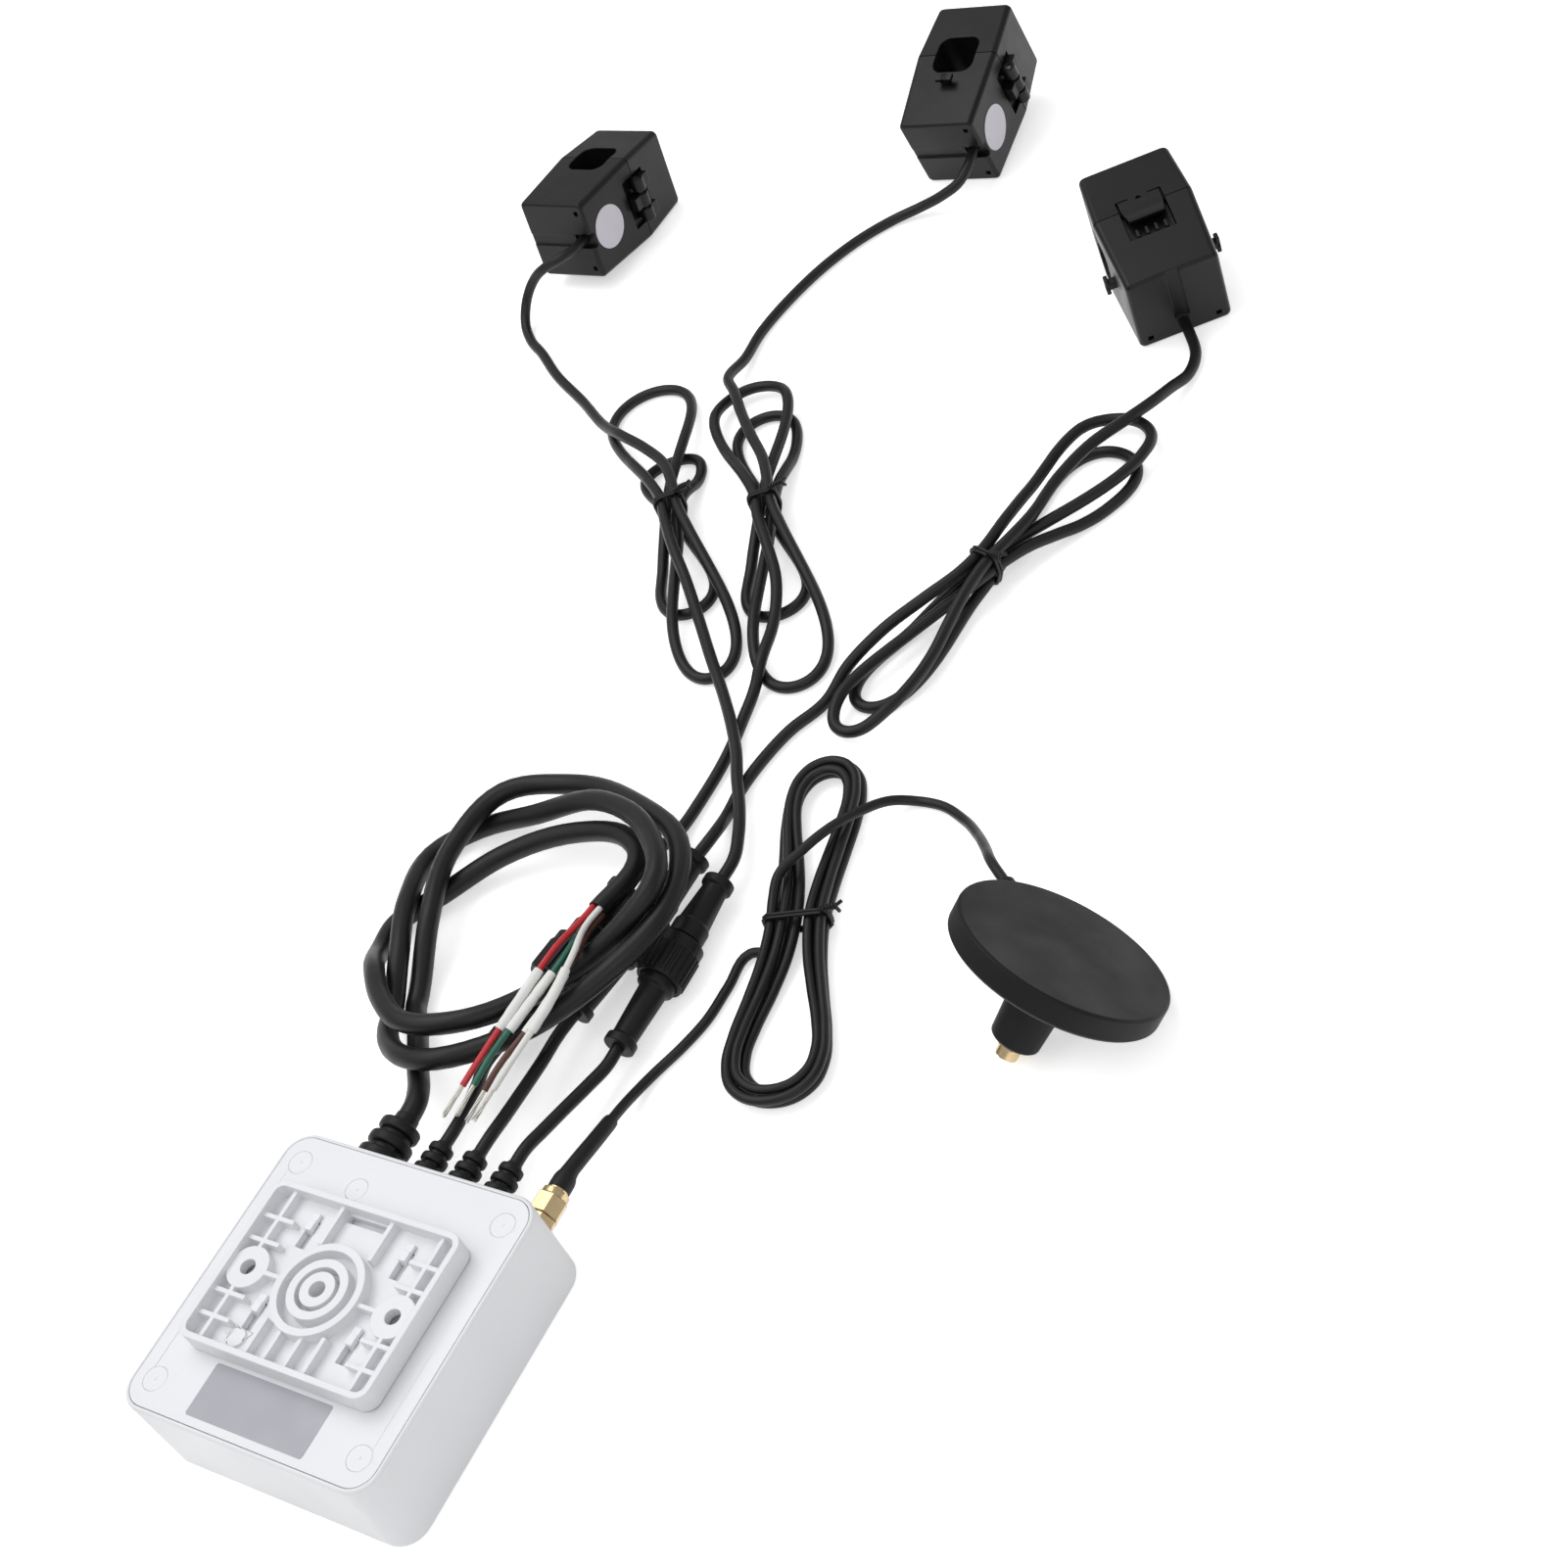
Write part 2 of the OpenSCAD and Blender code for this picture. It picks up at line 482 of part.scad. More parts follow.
// White housing
module front_shell() {
  color("gainsboro") difference() {
    union() {
      difference() {
        soft_box(body_w, body_l, body_h, corner_r, front_r, rim_r);
        translate([0, 0, floor_t])
          rplate(body_w - 2 * wall, body_l - 2 * wall, body_h, corner_r - wall);
        translate([0, 0, cover_z])
          rplate(body_w - 2 * rim_w, body_l - 2 * rim_w, body_h, corner_r - rim_w);
      }
      at_plugs() translate([0, 0, floor_t - 0.5]) cylinder(r = boss_r, h = cover_z - floor_t + 0.5);
      for (x = [-1, 1])
        for (y = [-1, 1])
          translate([x * post_x, y * post_y, floor_t - 0.5]) cylinder(r = 3, h = board_z - floor_t + 0.5);
    }
    at_plugs() translate([0, 0, cover_z - screw_l - 4]) cylinder(r = screw_r - 0.25, h = screw_l + 12);
    out_y(power_x) cylinder(r = 5 + 0.1, h = 20, center = true);
    for (x = pig_x) out_y(x) cylinder(r = 3 + 0.1, h = 20, center = true);
    out_y(sma_x) cylinder(r = sma_r + 0.1, h = 20, center = true);
    translate([button_at[0], button_at[1], -1]) cylinder(r = button_r + 0.3, h = 10);
    translate([pipe_at[0], pipe_at[1], -1]) cylinder(r = 1.6, h = 10);
  }
}
module back_cover() {
  color("whitesmoke") {
    difference() {
      translate([0, 0, cover_z])
        rplate(body_w - 2 * (rim_w + fit), body_l - 2 * (rim_w + fit), cover_t, corner_r - rim_w - fit);
      at_plugs() translate([0, 0, body_h - 0.8]) cylinder(r = plug_r + 0.05, h = 5);
      at_plugs() translate([0, 0, body_h - 1.7]) cylinder(r = head_r + 0.2, h = 5);
      at_plugs() translate([0, 0, cover_z - 1]) cylinder(r = screw_r + 0.1, h = 10);
      translate([small_plug[0], small_plug[1], body_h - 0.8]) cylinder(r = small_plug_r + 0.05, h = 5);
    }
    for (x = [-1, 1])
      for (y = hook_y) {
        translate([x * hook_x - hook_w / 2, y - hook_l / 2, body_h - 0.5])
          cube([hook_w, hook_l, 0.5 + slide_gap + plate_t + 0.2 + 1.4]);
        translate([x * hook_x - hook_w / 2, y - hook_l / 2, plate_z + plate_t + 0.2])
          cube([hook_w, hook_l + hook_lip, 1.4 - slide_gap]);
      }
  }
}
module cover_screws() {
  color("silver") at_plugs() {
    translate([0, 0, body_h - 1.7]) cylinder(r = head_r, h = 0.85);
    translate([0, 0, cover_z - screw_l]) cylinder(r = screw_r - 0.25, h = screw_l + cover_t - 1.2);
  }
}
module screw_plugs() {
  color("lightgray") {
    at_plugs() translate([0, 0, body_h - 0.8]) cylinder(r = plug_r, h = 0.7);
    translate([small_plug[0], small_plug[1], body_h - 0.8]) cylinder(r = small_plug_r, h = 0.7);
  }
}
module rating_label() {
  color("silver") translate([label_at[0], label_at[1], body_h]) rplate(label_w, label_l, 0.1, 0.8);
}

// Wall bracket: a ribbed tray that slides on four hooks
module rib(x, y, w, l) {
  translate([x, y, plate_z + rib_h() / 2]) cube([w, l, rib_h()], center = true);
}
module ring(inner, outer) {
  translate([0, 0, plate_z]) difference() {
    cylinder(r = outer, h = rib_h() + 1);
    translate([0, 0, plate_t]) cylinder(r = inner, h = 10);
  }
}
module wall_bracket() {
  inner_w = bracket_w - 3.6;
  inner_l = bracket_l - 3.6;
  color("lightgray") difference() {
    union() {
      translate([0, bracket_y, 0]) {
        difference() {
          translate([0, 0, plate_z]) rplate(bracket_w, bracket_l, rim_z - plate_z, 4);
          translate([0, 0, plate_z + plate_t]) rplate(inner_w, inner_l, bracket_h, 2.4);
        }
        for (x = [-1, 1]) {
          for (y = [-16, -9, 7, 14])
            rib(x * (inner_w / 2 - 5), y, 11, rib_t);
          rib(x * (inner_w / 2 - 5), 0, rib_t, inner_l + 1);
          rib(x * (slot_w / 2 + 1), inner_l / 2 - 5.7, rib_t, 12);
          rib(x * 3.6, 5.2 - inner_l / 2, rib_t, 11);
          rib(x * 10, 5.2 - inner_l / 2, rib_t, 11);
        }
        translate([-17, 3.8 - inner_l / 2, plate_z]) cylinder(r = 2.8, h = plate_t + 0.8);
      }
      for (x = [-1, 1]) {
        translate([x * screw_pitch / 2, 0, plate_z]) cylinder(r = pad_r, h = rib_h());
        rib(x * 17, 0, 12, rib_t);
      }
      ring(11.2, 13.4);
      ring(6.3, 8.8);
      translate([0, 0, plate_z]) cylinder(r = 5.1, h = rib_h() + 1);
    }
    for (x = [-1, 1]) {
      translate([x * screw_pitch / 2, 0, 0]) cylinder(r = screw_hole_r, h = 90);
      translate([x * screw_pitch / 2, 0, plate_z - 1]) cylinder(r = 4, h = 1 + 2);
      for (y = hook_y)
        translate([x * hook_x - hook_w / 2 - 0.4, y - hook_l / 2 - slide_travel - 0.8, plate_z - 1])
          cube([hook_w + 0.8, hook_l + slide_travel + 1.1, plate_t + 2]);
    }
    translate([0, 0, plate_z - 1]) cylinder(r = 2.3, h = bracket_h + 3);
    translate([-slot_w / 2, bracket_y + inner_l / 2 - 2.6, plate_z - 1]) cube([slot_w, 2, plate_t + 2]);
  }
}
function rib_h() = bracket_h - slide_gap - 1.6;

// Parts inside the housing
module main_board() {
  color("seagreen") difference() {
    translate([0, 0, board_z]) rplate(board_w, board_l, board_t, 2);
    for (x = [-1, 1])
      for (y = [-1, 1])
        translate([x * post_x, y * post_y, board_z - 1]) cylinder(r = 1.2, h = 5);
  }
}
module power_transformer() {
  color("darkgoldenrod") translate([trafo_at[0], trafo_at[1], board_z + board_t])
    rplate(trafo[0], trafo[1], trafo[2], 1);
}
module filter_capacitors() {
  color("darkslategray")
    for (p = cap_at)
      translate([p[0], p[1], board_z + board_t]) cylinder(r = p[2], h = cap_h);
}
module radio_module() {
  color("silver") translate([radio_at[0], radio_at[1], board_z + board_t])
    rplate(radio[0], radio[1], radio[2], 0.6);
}
module pairing_button() {
  color("gray") translate([button_at[0], button_at[1], 0]) {
    translate([0, 0, 0.4]) cylinder(r = button_r, h = floor_t + 0.2);
    translate([0, 0, floor_t + 0.3]) cylinder(r = button_r + 1, h = 0.8);
    translate([0, 0, floor_t + 1]) cylinder(r = 1.5, h = board_z - 3.5 - floor_t - 1 - button_travel - 0.2);
  }
}
module tact_switch() {
  color("dimgray") translate([button_at[0], button_at[1], board_z - 3.5]) {
    translate([-3, -3, 0.7]) cube([6, 6, 2.8]);
    cylinder(r = 1.6, h = 1);
  }
}
module light_pipe() {
  color("white") translate([pipe_at[0], pipe_at[1], 0.3]) cylinder(r = 1.5, h = board_z - 0.3);
}

// Antenna socket and plug
module sma_jack() {
  color("goldenrod") out_y(sma_x) {
    intersection() {
      translate([0, 0, -wall - 2]) cylinder(r = 4.6, h = 2);
      translate([-5, -5, -wall - 2]) cube([5 + body_w / 2 - corner_r - sma_x, 10, 2]);
    }
    translate([0, 0, -wall - 1]) cylinder(r = sma_r, h = wall + 1 + 7.2);
    linear_extrude(2.2) circle(r = sma_af / 2 / cos(30), $fn = 6);
  }
}
module sma_nut() {
  color("gold") out_y(sma_x) difference() {
    union() {
      translate([0, 0, 2.6]) linear_extrude(5.6) circle(r = sma_af / 2 / cos(30), $fn = 6);
      translate([0, 0, 8]) cylinder(r = sma_af / 2 - 0.1, h = 2);
    }
    translate([0, 0, 2]) cylinder(r = sma_r + 0.2, h = 6);
    cylinder(r = 2.5 + run_gap, h = 20);
  }
}
module sma_ferrule() {
  color("goldenrod") out_y(sma_x) {
    translate([0, 0, 7.2]) cylinder(r = sma_r - 0.1, h = 0.6);
    translate([0, 0, 7.5]) cylinder(r = 2.5, h = 4);
    translate([0, 0, 10.3]) cylinder(r = 2.9, h = 3.2);
  }
}

// Strain reliefs
module power_gland() {
  nose = gland_l;
  color("dimgray") out_y(power_x) rotate_extrude() polygon([[0, -wall - 1.7], [7.2, -wall - 1.7],
    [7.2, -wall - 0.1], [5, -wall - 0.1], [5, 0], [7.6, 0], [7.6, 2.6], [5.6, 3], [5.6, 3.8], [6.7, 4.2],
    [6.7, 7], [5.3, 7.4], [5.3, 8.4], [6.2, 8.8], [6.2, 11.4], [4.9, 11.8], [4.9, 12.8], [5.6, 13.2],
    [5.6, 15.4], [4.6, 15.8], [4.4, nose], [0, nose]]);
}
module pigtail_glands() {
  nose = small_gland_l;
  color("dimgray")
    for (x = pig_x)
      out_y(x) rotate_extrude() polygon([[0, -wall - 1.5], [4.2, -wall - 1.5], [4.2, -wall - 0.1],
        [3, -wall - 0.1], [3, 0], [4.6, 0], [4.6, 1.8], [3.2, 2.1], [3.2, 2.9], [4, 3.2], [4, 5],
        [3, 5.3], [3, 6.1], [3.8, 6.4], [3.8, 8.2], [2.9, 8.5], [2.9, 9.2], [3.5, 9.5], [3.5, 11.2],
        [2.7, 11.5], [2.5, nose], [0, nose]]);
}

// Screw connectors: socket below, plug above, ribbed coupling nut between
module connector_sockets() {
  e = conn_l / 2;
  color("dimgray")
    for (k = [0 : 2])
      conn_pose(k) rotate_extrude() polygon([[0, -e], [flange_r, -e], [flange_r, -e + 2.6], [3.3, -e + 3.2],
        [3.7, -nut_l / 2 - 3], [5.6, -nut_l / 2 - 2.2], [5.6, 0], [3.2, 0], [3.2, 4], [0, 4]]);
}
module connector_plugs() {
  e = conn_l / 2;
  m = nut_l / 2;
  color("dimgray")
    for (k = [0 : 2])
      conn_pose(k) rotate_extrude() polygon([[0, 4], [3.4, 4], [3.4, 1.2], [5.4, 1.2], [5.4, 3],
        [4.4, 3], [4.4, m + 1], [5.4, m + 1.2], [5.4, m + 6], [4.3, m + 7], [3.3, e - 3.2],
        [flange_r, e - 2.6], [flange_r, e], [0, e]]);
}
module connector_seals() {
  color("firebrick")
    for (k = [0 : 2])
      conn_pose(k) translate([0, 0, 0.1]) difference() {
        cylinder(r = 5.3, h = 1);
        translate([0, 0, -1]) cylinder(r = 3.3, h = 3);
      }
}
module coupling_nut(k) {
  color("darkslategray") conn_pose(k) difference() {
    union() {
      translate([0, 0, -nut_l / 2]) cylinder(r = nut_r - 0.5, h = nut_l);
      for (a = [0 : 15 : 345])
        rotate([0, 0, a]) translate([nut_r - 0.9, -0.5, -nut_l / 2 + 1]) cube([0.85, 1, nut_l - 4.5]);
    }
    translate([0, 0, -nut_l]) cylinder(r = 5.6 + 0.2, h = nut_l + 3.4);
    cylinder(r = 4.4 + run_gap, h = 2 * nut_l);
  }
}
module connector_nut_1() {
  coupling_nut(0);
}
module connector_nut_2() {
  coupling_nut(1);
}
module connector_nut_3() {
  coupling_nut(2);
}

// Free cords, hanks and coil
module coax_sleeve() {
  color("black") tube(sleeve_pts, coax_d + 1.6, 8, 6);
}
module power_lead() {
  color("black") tube(power_pts, mains_d, 10, 9);
}
module power_coil() {
  color("black") sweep(path(coil_line, 12), mains_d, 8, coil_in, coil_out);
}
module mains_wires() {
  for (i = [0 : 3]) {
    q = wire_path(i);
    color(wire_hues[i]) sweep(q, wire_d, 6, coil_out, wire_end(i));
    tip = q[len(q) - 1];
    color("silver") sweep([tip, tip + wire_bare * wire_end(i)], wire_d * 0.7, 6, wire_end(i), wire_end(i));
  }
}
module wire_sleeves() {
  color("white")
    for (i = [0 : 3]) {
      q = wire_path(i);
      s = [for (j = [6 : 9]) q[j]];
      sweep(s, wire_d + 1, 8, q[7] - q[5], q[10] - q[8]);
    }
}
module pigtail_1() {
  color("black") tube(pig_1_pts, lead_d, 8, 8);
}
module pigtail_2() {
  color("black") tube(pig_2_pts, lead_d, 8, 8);
}
module pigtail_3() {
  color("black") tube(pig_3_pts, lead_d, 8, 8);
}
module ct_lead_1() {
  color("black") tube(lead_1_pts, lead_d, 8, 9);
}
module ct_lead_2() {
  color("black") tube(lead_2_pts, lead_d, 8, 9);
}
module ct_lead_3() {
  color("black") tube(lead_3_pts, lead_d, 8, 9);
}
module ct_tail_1() {
  color("black") tube(tail_1_pts, lead_d, 8, 9);
}
module ct_tail_2() {
  color("black") tube(tail_2_pts, lead_d, 8, 9);
}
module ct_tail_3() {
  color("black") tube(tail_3_pts, lead_d, 8, 9);
}
module hank(k) {
  q = hank_points(k, 18);
  h = [cos(hank_head[k]), sin(hank_head[k]), 0];
  color("black") sweep(q, lead_d, 6, -h, -h);
}
module ct_hank_1() {
  hank(0);
}
module ct_hank_2() {
  hank(1);
}
module ct_hank_3() {
  hank(2);
}
module antenna_lead() {
  color("black") tube(coax_in_pts, coax_d, 8, 7);
}
module antenna_hank() {
  h = [cos(coil4_head), sin(coil4_head), 0];
  color("black") sweep(coil4_points(120), coax_d, 6, h, h);
}
module antenna_tail() {
  color("black") tube(coax_out_pts, coax_d, 8, 7);
}

// Wire ties: an upright band round each hank's waist with a twisted tail
module tie_band(w, low, high) {
  rotate([90, 0, 0]) linear_extrude(2, center = true) translate([0, (low + high) / 2]) difference() {
    rrect(w + 1.6, high - low + 1.6, 2);
    rrect(w, high - low, 1.4);
  }
}
module cable_ties() {
  color("black") {
    for (k = [0 : 2])
      translate([hank_tie[k][0], hank_tie[k][1], 0]) rotate([0, 0, hank_head[k] + 90])
        tie_band(hank_slot + lead_d + 0.6, tie_low, hank_level(2) + lead_d / 2 + 0.2);
    translate([coil4_place([coil4_mid, 0, 0])[0], coil4_place([coil4_mid, 0, 0])[1], 0])
      rotate([0, 0, coil4_head + 90])
        tie_band(2 * coil4_waist + coax_d + 0.8, tie_low, coax_d + coil4_pitch + hank_foot + 0.5);
  }
}

// Antenna base: magnetic disc with a tapered stem and a gold socket
module antenna_base() {
  color("black") disc_pose() {
    rotate_extrude() polygon([[0, 0], [disc_r - 0.6, 0], [disc_r, -0.6], [disc_r, -disc_t + disc_edge],
      [disc_r - disc_edge, -disc_t], [stem_r + 2.2, -disc_t], [stem_r + 1.2, -disc_t - 1],
      [stem_r, 0.8 - stem], [stem_r - 0.8, -stem], [0, -stem]]);
    rotate([0, 0, -boss_turn]) translate([0, disc_r - 1, -disc_t / 2]) rotate([-90, 0, 0])
      cylinder(r = 2.4, h = 5);
  }
}
module antenna_socket() {
  color("gold") disc_pose() {
    translate([0, 0, -disc_tip]) cylinder(r = sma_r, h = disc_tip - stem);
    translate([0, 0, -stem - 1.2]) linear_extrude(1.2) circle(r = sma_af / 2 / cos(30), $fn = 6);
  }
}

// Split-core current clamps
module clamp_profile(lo, hi, half) {
  at = half + clamp_bulge;
  translate([0, lo]) polygon(lo == 0
    ? [[-half + end_cut, 0], [half - end_cut, 0], [half, end_cut], [at, hi], [-at, hi], [-half, end_cut]]
    : [[-at, 0], [at, 0], [half, hi - lo - cap_cut], [half - cap_cut, hi - lo], [cap_cut - half, hi - lo],
       [-half, hi - lo - cap_cut]]);
}
module clamp_block(lo, hi) {
  intersection() {
    linear_extrude(clamp_t + 10, center = true) clamp_profile(lo, hi, clamp_w / 2);
    rotate([0, 90, 0]) linear_extrude(clamp_w + 20, center = true) clamp_profile(lo, hi, clamp_t / 2);
  }
}
module clamp_bore() {
  translate([0, clamp_body, 0]) linear_extrude(90, center = true) rrect(clamp_hole, clamp_hole, 3.5);
}
module knuckle(z0, z1, r) {
  translate([hinge_x, hinge_y, z0]) cylinder(r = r, h = z1 - z0);
}
module wing(s) {
  face = clamp_t / 2 + clamp_bulge * wing_y / clamp_body;
  translate([0, wing_y, s * (face - 1)]) {
    translate([-1.4, -wing_half, s < 0 ? -wing_h - 1 : 0]) cube([2.8, 2 * wing_half, wing_h + 1]);
    translate([-3.2, -wing_half, s < 0 ? -wing_h - 1 : wing_h - 0.4]) cube([6.4, 2 * wing_half, 1.4]);
  }
}
module clamp_lower(wings) {
  top = clamp_body - split;
  color("dimgray") difference() {
    union() {
      difference() {
        clamp_block(0, top);
        translate([pocket_x, hinge_y - 6.4, -pocket_z]) cube([9, 20, 2 * pocket_z]);
      }
      knuckle(-lug, lug, knuckle_r);
      translate([pocket_x - 0.5, hinge_y - 6.6, -lug]) cube([hinge_x + 1.2 - pocket_x + 0.5, 6.6, 2 * lug]);
      for (s = wings) wing(s);
    }
    clamp_bore();
    for (s = [-1, 1]) {
      translate([s * (core_in + 1.5), clamp_body - 7, 0]) cube([3.2, 40, 2 * core_z + 0.2], center = true);
      translate([clamp_w / 2 - 4.4, -1, s * (clamp_t / 2 - 4) - 0.9]) cube([1.8, 3, 1.8]);
    }
    translate([-core_out - 0.1, 13.3, -core_z - 0.1]) cube([2 * core_out + 0.2, 5.2, 2 * core_z + 0.2]);
    translate([-8.8, 11.2, -core_z - 2.3]) cube([17.6, 9.4, 2 * core_z + 4.6]);
    translate([-clamp_w / 2 - 4, 18.4, -tab_z - 0.8]) cube([4.2, 20, 2 * tab_z + 1.6]);
    translate([-clamp_w / 2 - 1, -1, -2.3]) cube([clamp_w - 2.4, 1.9, 4.6]);
    translate([6.6, -1, -2.9]) cube([clamp_w / 2 - 5.6, 3.2, 5.8]);
    knuckle(-lug - 1, lug + 1, pin_r + 0.02);
  }
}
module clamp_upper() {
  low = clamp_body + split;
  color("dimgray") difference() {
    union() {
      difference() {
        clamp_block(low, cap_end);
        translate([pocket_x, hinge_y - 9, -pocket_z]) cube([9, 15.4, 2 * pocket_z]);
      }
      for (s = [-1, 1]) {
        knuckle(s > 0 ? lug + lug_gap : -lug_out, s > 0 ? lug_out : -lug - lug_gap, knuckle_r);
        translate([pocket_x - 0.5, hinge_y, s > 0 ? lug + lug_gap : -lug_out])
          cube([hinge_x + 1.2 - pocket_x + 0.5, 6.6, lug_out - lug - lug_gap]);
      }
      translate([-clamp_w / 2 - clamp_bulge - 0.6, clamp_body - tab_y, -tab_z])
        cube([clamp_bulge + 0.4, tab_y + 5, 2 * tab_z]);
      translate([-clamp_w / 2 - clamp_bulge - 1.6, clamp_body - tab_y, -tab_z]) cube([1.4, 3, 2 * tab_z]);
    }
    clamp_bore();
    for (s = [-1, 1])
      translate([s * (core_in + 1.5), clamp_body + 6, 0]) cube([3.2, 22, 2 * core_z + 0.2], center = true);
    translate([-core_out - 0.1, clamp_body + 10.2, -core_z - 0.1])
      cube([2 * core_out + 0.2, 6.8, 2 * core_z + 0.2]);
    knuckle(-lug_out - 1, lug_out + 1, pin_r + run_gap);
    for (s = [-1, 1])
      translate([-clamp_w / 2 - clamp_bulge - 1, clamp_body - 1, s * (tab_z + 0.4) - 0.35])
        cube([clamp_bulge + 1, 6.2, 0.7]);
    translate([-clamp_w / 2 - clamp_bulge - 2, clamp_body + 4, 0]) rotate([0, 90, 0]) cylinder(r = 0.9, h = 2);
  }
}
module core_u(lo, hi, base0, base1) {
  color("slategray") {
    for (s = [-1, 1])
      translate([s * (core_in + 1.5) - 1.5, lo, -core_z]) cube([3, hi - lo, 2 * core_z]);
    translate([-core_out, base0, -core_z]) cube([2 * core_out, base1 - base0, 2 * core_z]);
  }
}
module clamp_body_1() {
  clamp_pose(0) clamp_lower([-1]);
}
module clamp_body_2() {
  clamp_pose(1) clamp_lower([-1, 1]);
}
module clamp_body_3() {
  clamp_pose(2) clamp_lower([-1, 1]);
}
module clamp_cap_1() {
  clamp_pose(0) clamp_upper();
}
module clamp_cap_2() {
  clamp_pose(1) clamp_upper();
}
module clamp_cap_3() {
  clamp_pose(2) clamp_upper();
}
module upper_core_1() {
  clamp_pose(0) core_u(clamp_body + split, clamp_body + 16.9, clamp_body + 10.3, clamp_body + 16.9);
}
module upper_core_2() {
  clamp_pose(1) core_u(clamp_body + split, clamp_body + 16.9, clamp_body + 10.3, clamp_body + 16.9);
}
module upper_core_3() {
  clamp_pose(2) core_u(clamp_body + split, clamp_body + 16.9, clamp_body + 10.3, clamp_body + 16.9);
}
module lower_cores() {
  for (k = [0 : 2]) clamp_pose(k) core_u(13.4, clamp_body - split, 13.4, 18.4);
}
module clamp_windings() {
  color("chocolate")
    for (k = [0 : 2])
      clamp_pose(k) difference() {
        translate([-8.7, 11.3, -core_z - 2.2]) cube([17.4, 9.2, 2 * core_z + 4.4]);
        translate([-10, 13.3, -core_z - 0.1]) cube([20, 5.2, 2 * core_z + 0.2]);
      }
}
module hinge_pins() {
  color("silver")
    for (k = [0 : 2]) clamp_pose(k) knuckle(-lug_out + 0.2, lug_out - 0.2, pin_r);
}
module clamp_stickers() {
  color("white")
    for (k = [0 : 2])
      clamp_pose(k) translate([clamp_w / 2, end_cut, 0])
        rotate([0, 0, -atan(clamp_bulge / (clamp_body - split - end_cut))])
          translate([0.01, 10, 0]) rotate([0, 90, 0]) cylinder(r = sticker_r, h = 0.2);
}

// Least distance between neighbouring strands of each hank and of the coil
for (k = [0 : 2]) echo("least gap in clamp lead hank", k + 1, near_gap(hank_points(k, 40), lead_d, 9));
echo("least gap in antenna lead hank", near_gap(coil4_points(260), coax_d, 12));
echo("least gap in mains coil", near_gap(path(coil_line, 4), mains_d, 12));

front_shell();
back_cover();
wall_bracket();
cover_screws();
screw_plugs();
rating_label();
main_board();
power_transformer();
filter_capacitors();
radio_module();
pairing_button();
tact_switch();
light_pipe();
sma_jack();
power_gland();
pigtail_glands();
sma_ferrule();
sma_nut();
coax_sleeve();
power_lead();
power_coil();
mains_wires();
wire_sleeves();
pigtail_1();
pigtail_2();
pigtail_3();
connector_sockets();
connector_nut_1();
connector_nut_2();
connector_nut_3();
connector_plugs();
connector_seals();
ct_lead_1();
ct_lead_2();
ct_lead_3();
ct_hank_1();
ct_hank_2();
ct_hank_3();
ct_tail_1();
ct_tail_2();
ct_tail_3();
cable_ties();
antenna_lead();
antenna_hank();
antenna_tail();
antenna_base();
antenna_socket();
clamp_body_1();
clamp_body_2();
clamp_body_3();
clamp_cap_1();
clamp_cap_2();
clamp_cap_3();
upper_core_1();
upper_core_2();
upper_core_3();
lower_cores();
clamp_windings();
hinge_pins();
clamp_stickers();
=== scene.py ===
from math import asin, atan, ceil, cos, degrees, hypot, pi, radians, sin

import bmesh
import bpy
from bpy.props import FloatProperty, FloatVectorProperty, PointerProperty
from mathutils import Matrix, Vector


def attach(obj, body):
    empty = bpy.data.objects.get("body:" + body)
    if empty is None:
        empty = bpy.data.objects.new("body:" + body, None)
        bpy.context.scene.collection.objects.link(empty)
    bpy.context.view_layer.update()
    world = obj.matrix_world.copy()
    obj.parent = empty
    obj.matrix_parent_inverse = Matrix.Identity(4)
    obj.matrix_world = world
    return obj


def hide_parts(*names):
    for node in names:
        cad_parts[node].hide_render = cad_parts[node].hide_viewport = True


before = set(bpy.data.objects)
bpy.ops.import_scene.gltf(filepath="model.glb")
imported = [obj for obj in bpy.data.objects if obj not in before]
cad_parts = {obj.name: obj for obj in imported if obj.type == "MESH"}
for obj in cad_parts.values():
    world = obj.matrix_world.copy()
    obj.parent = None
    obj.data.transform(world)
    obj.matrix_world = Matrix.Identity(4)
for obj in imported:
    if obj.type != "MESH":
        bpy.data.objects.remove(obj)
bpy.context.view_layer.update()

bl_info = {
    "name": "Smart energy monitor",
    "version": (1, 0, 0),
    "blender": (4, 5, 0),
    "location": "3D View > Sidebar > Energy monitor",
    "description": "Dresses a wall-mounted energy monitor with its clamps, cords and antenna base",
    "category": "Object",
}

MM = 0.001

# Housing and outlets, in millimetres; a plug has its place and radius
WALL, BODY_H = 2.0, 30.0
PLUGS = ((-35.2, -33.8, 3.5), (-35.2, 33.8, 3.5), (35.2, -33.8, 3.5), (35.2, 33.8, 3.5),
         (-13.0, 31.2, 3.3))
OUTLET_Y, OUTLET_Z = 43.0, 15.0
POWER_X, PIG_X, SMA_X, SMA_R = -25.0, (16.0, -8.5, 3.5), 33.0, 3.15
GLAND_L, SMALL_GLAND_L = 19.0, 14.5

# Cords and connectors
LEAD_D, MAINS_D, COAX_D, WIRE_D = 3.8, 6.0, 3.0, 1.9
NUT_R, NUT_L, CONN_L, FLANGE_R = 7.5, 14.0, 60.0, 4.7
CONN_AT, CONN_YAW = ((19, 133), (-14, 125), (3, 140)), (0, -7, -7)

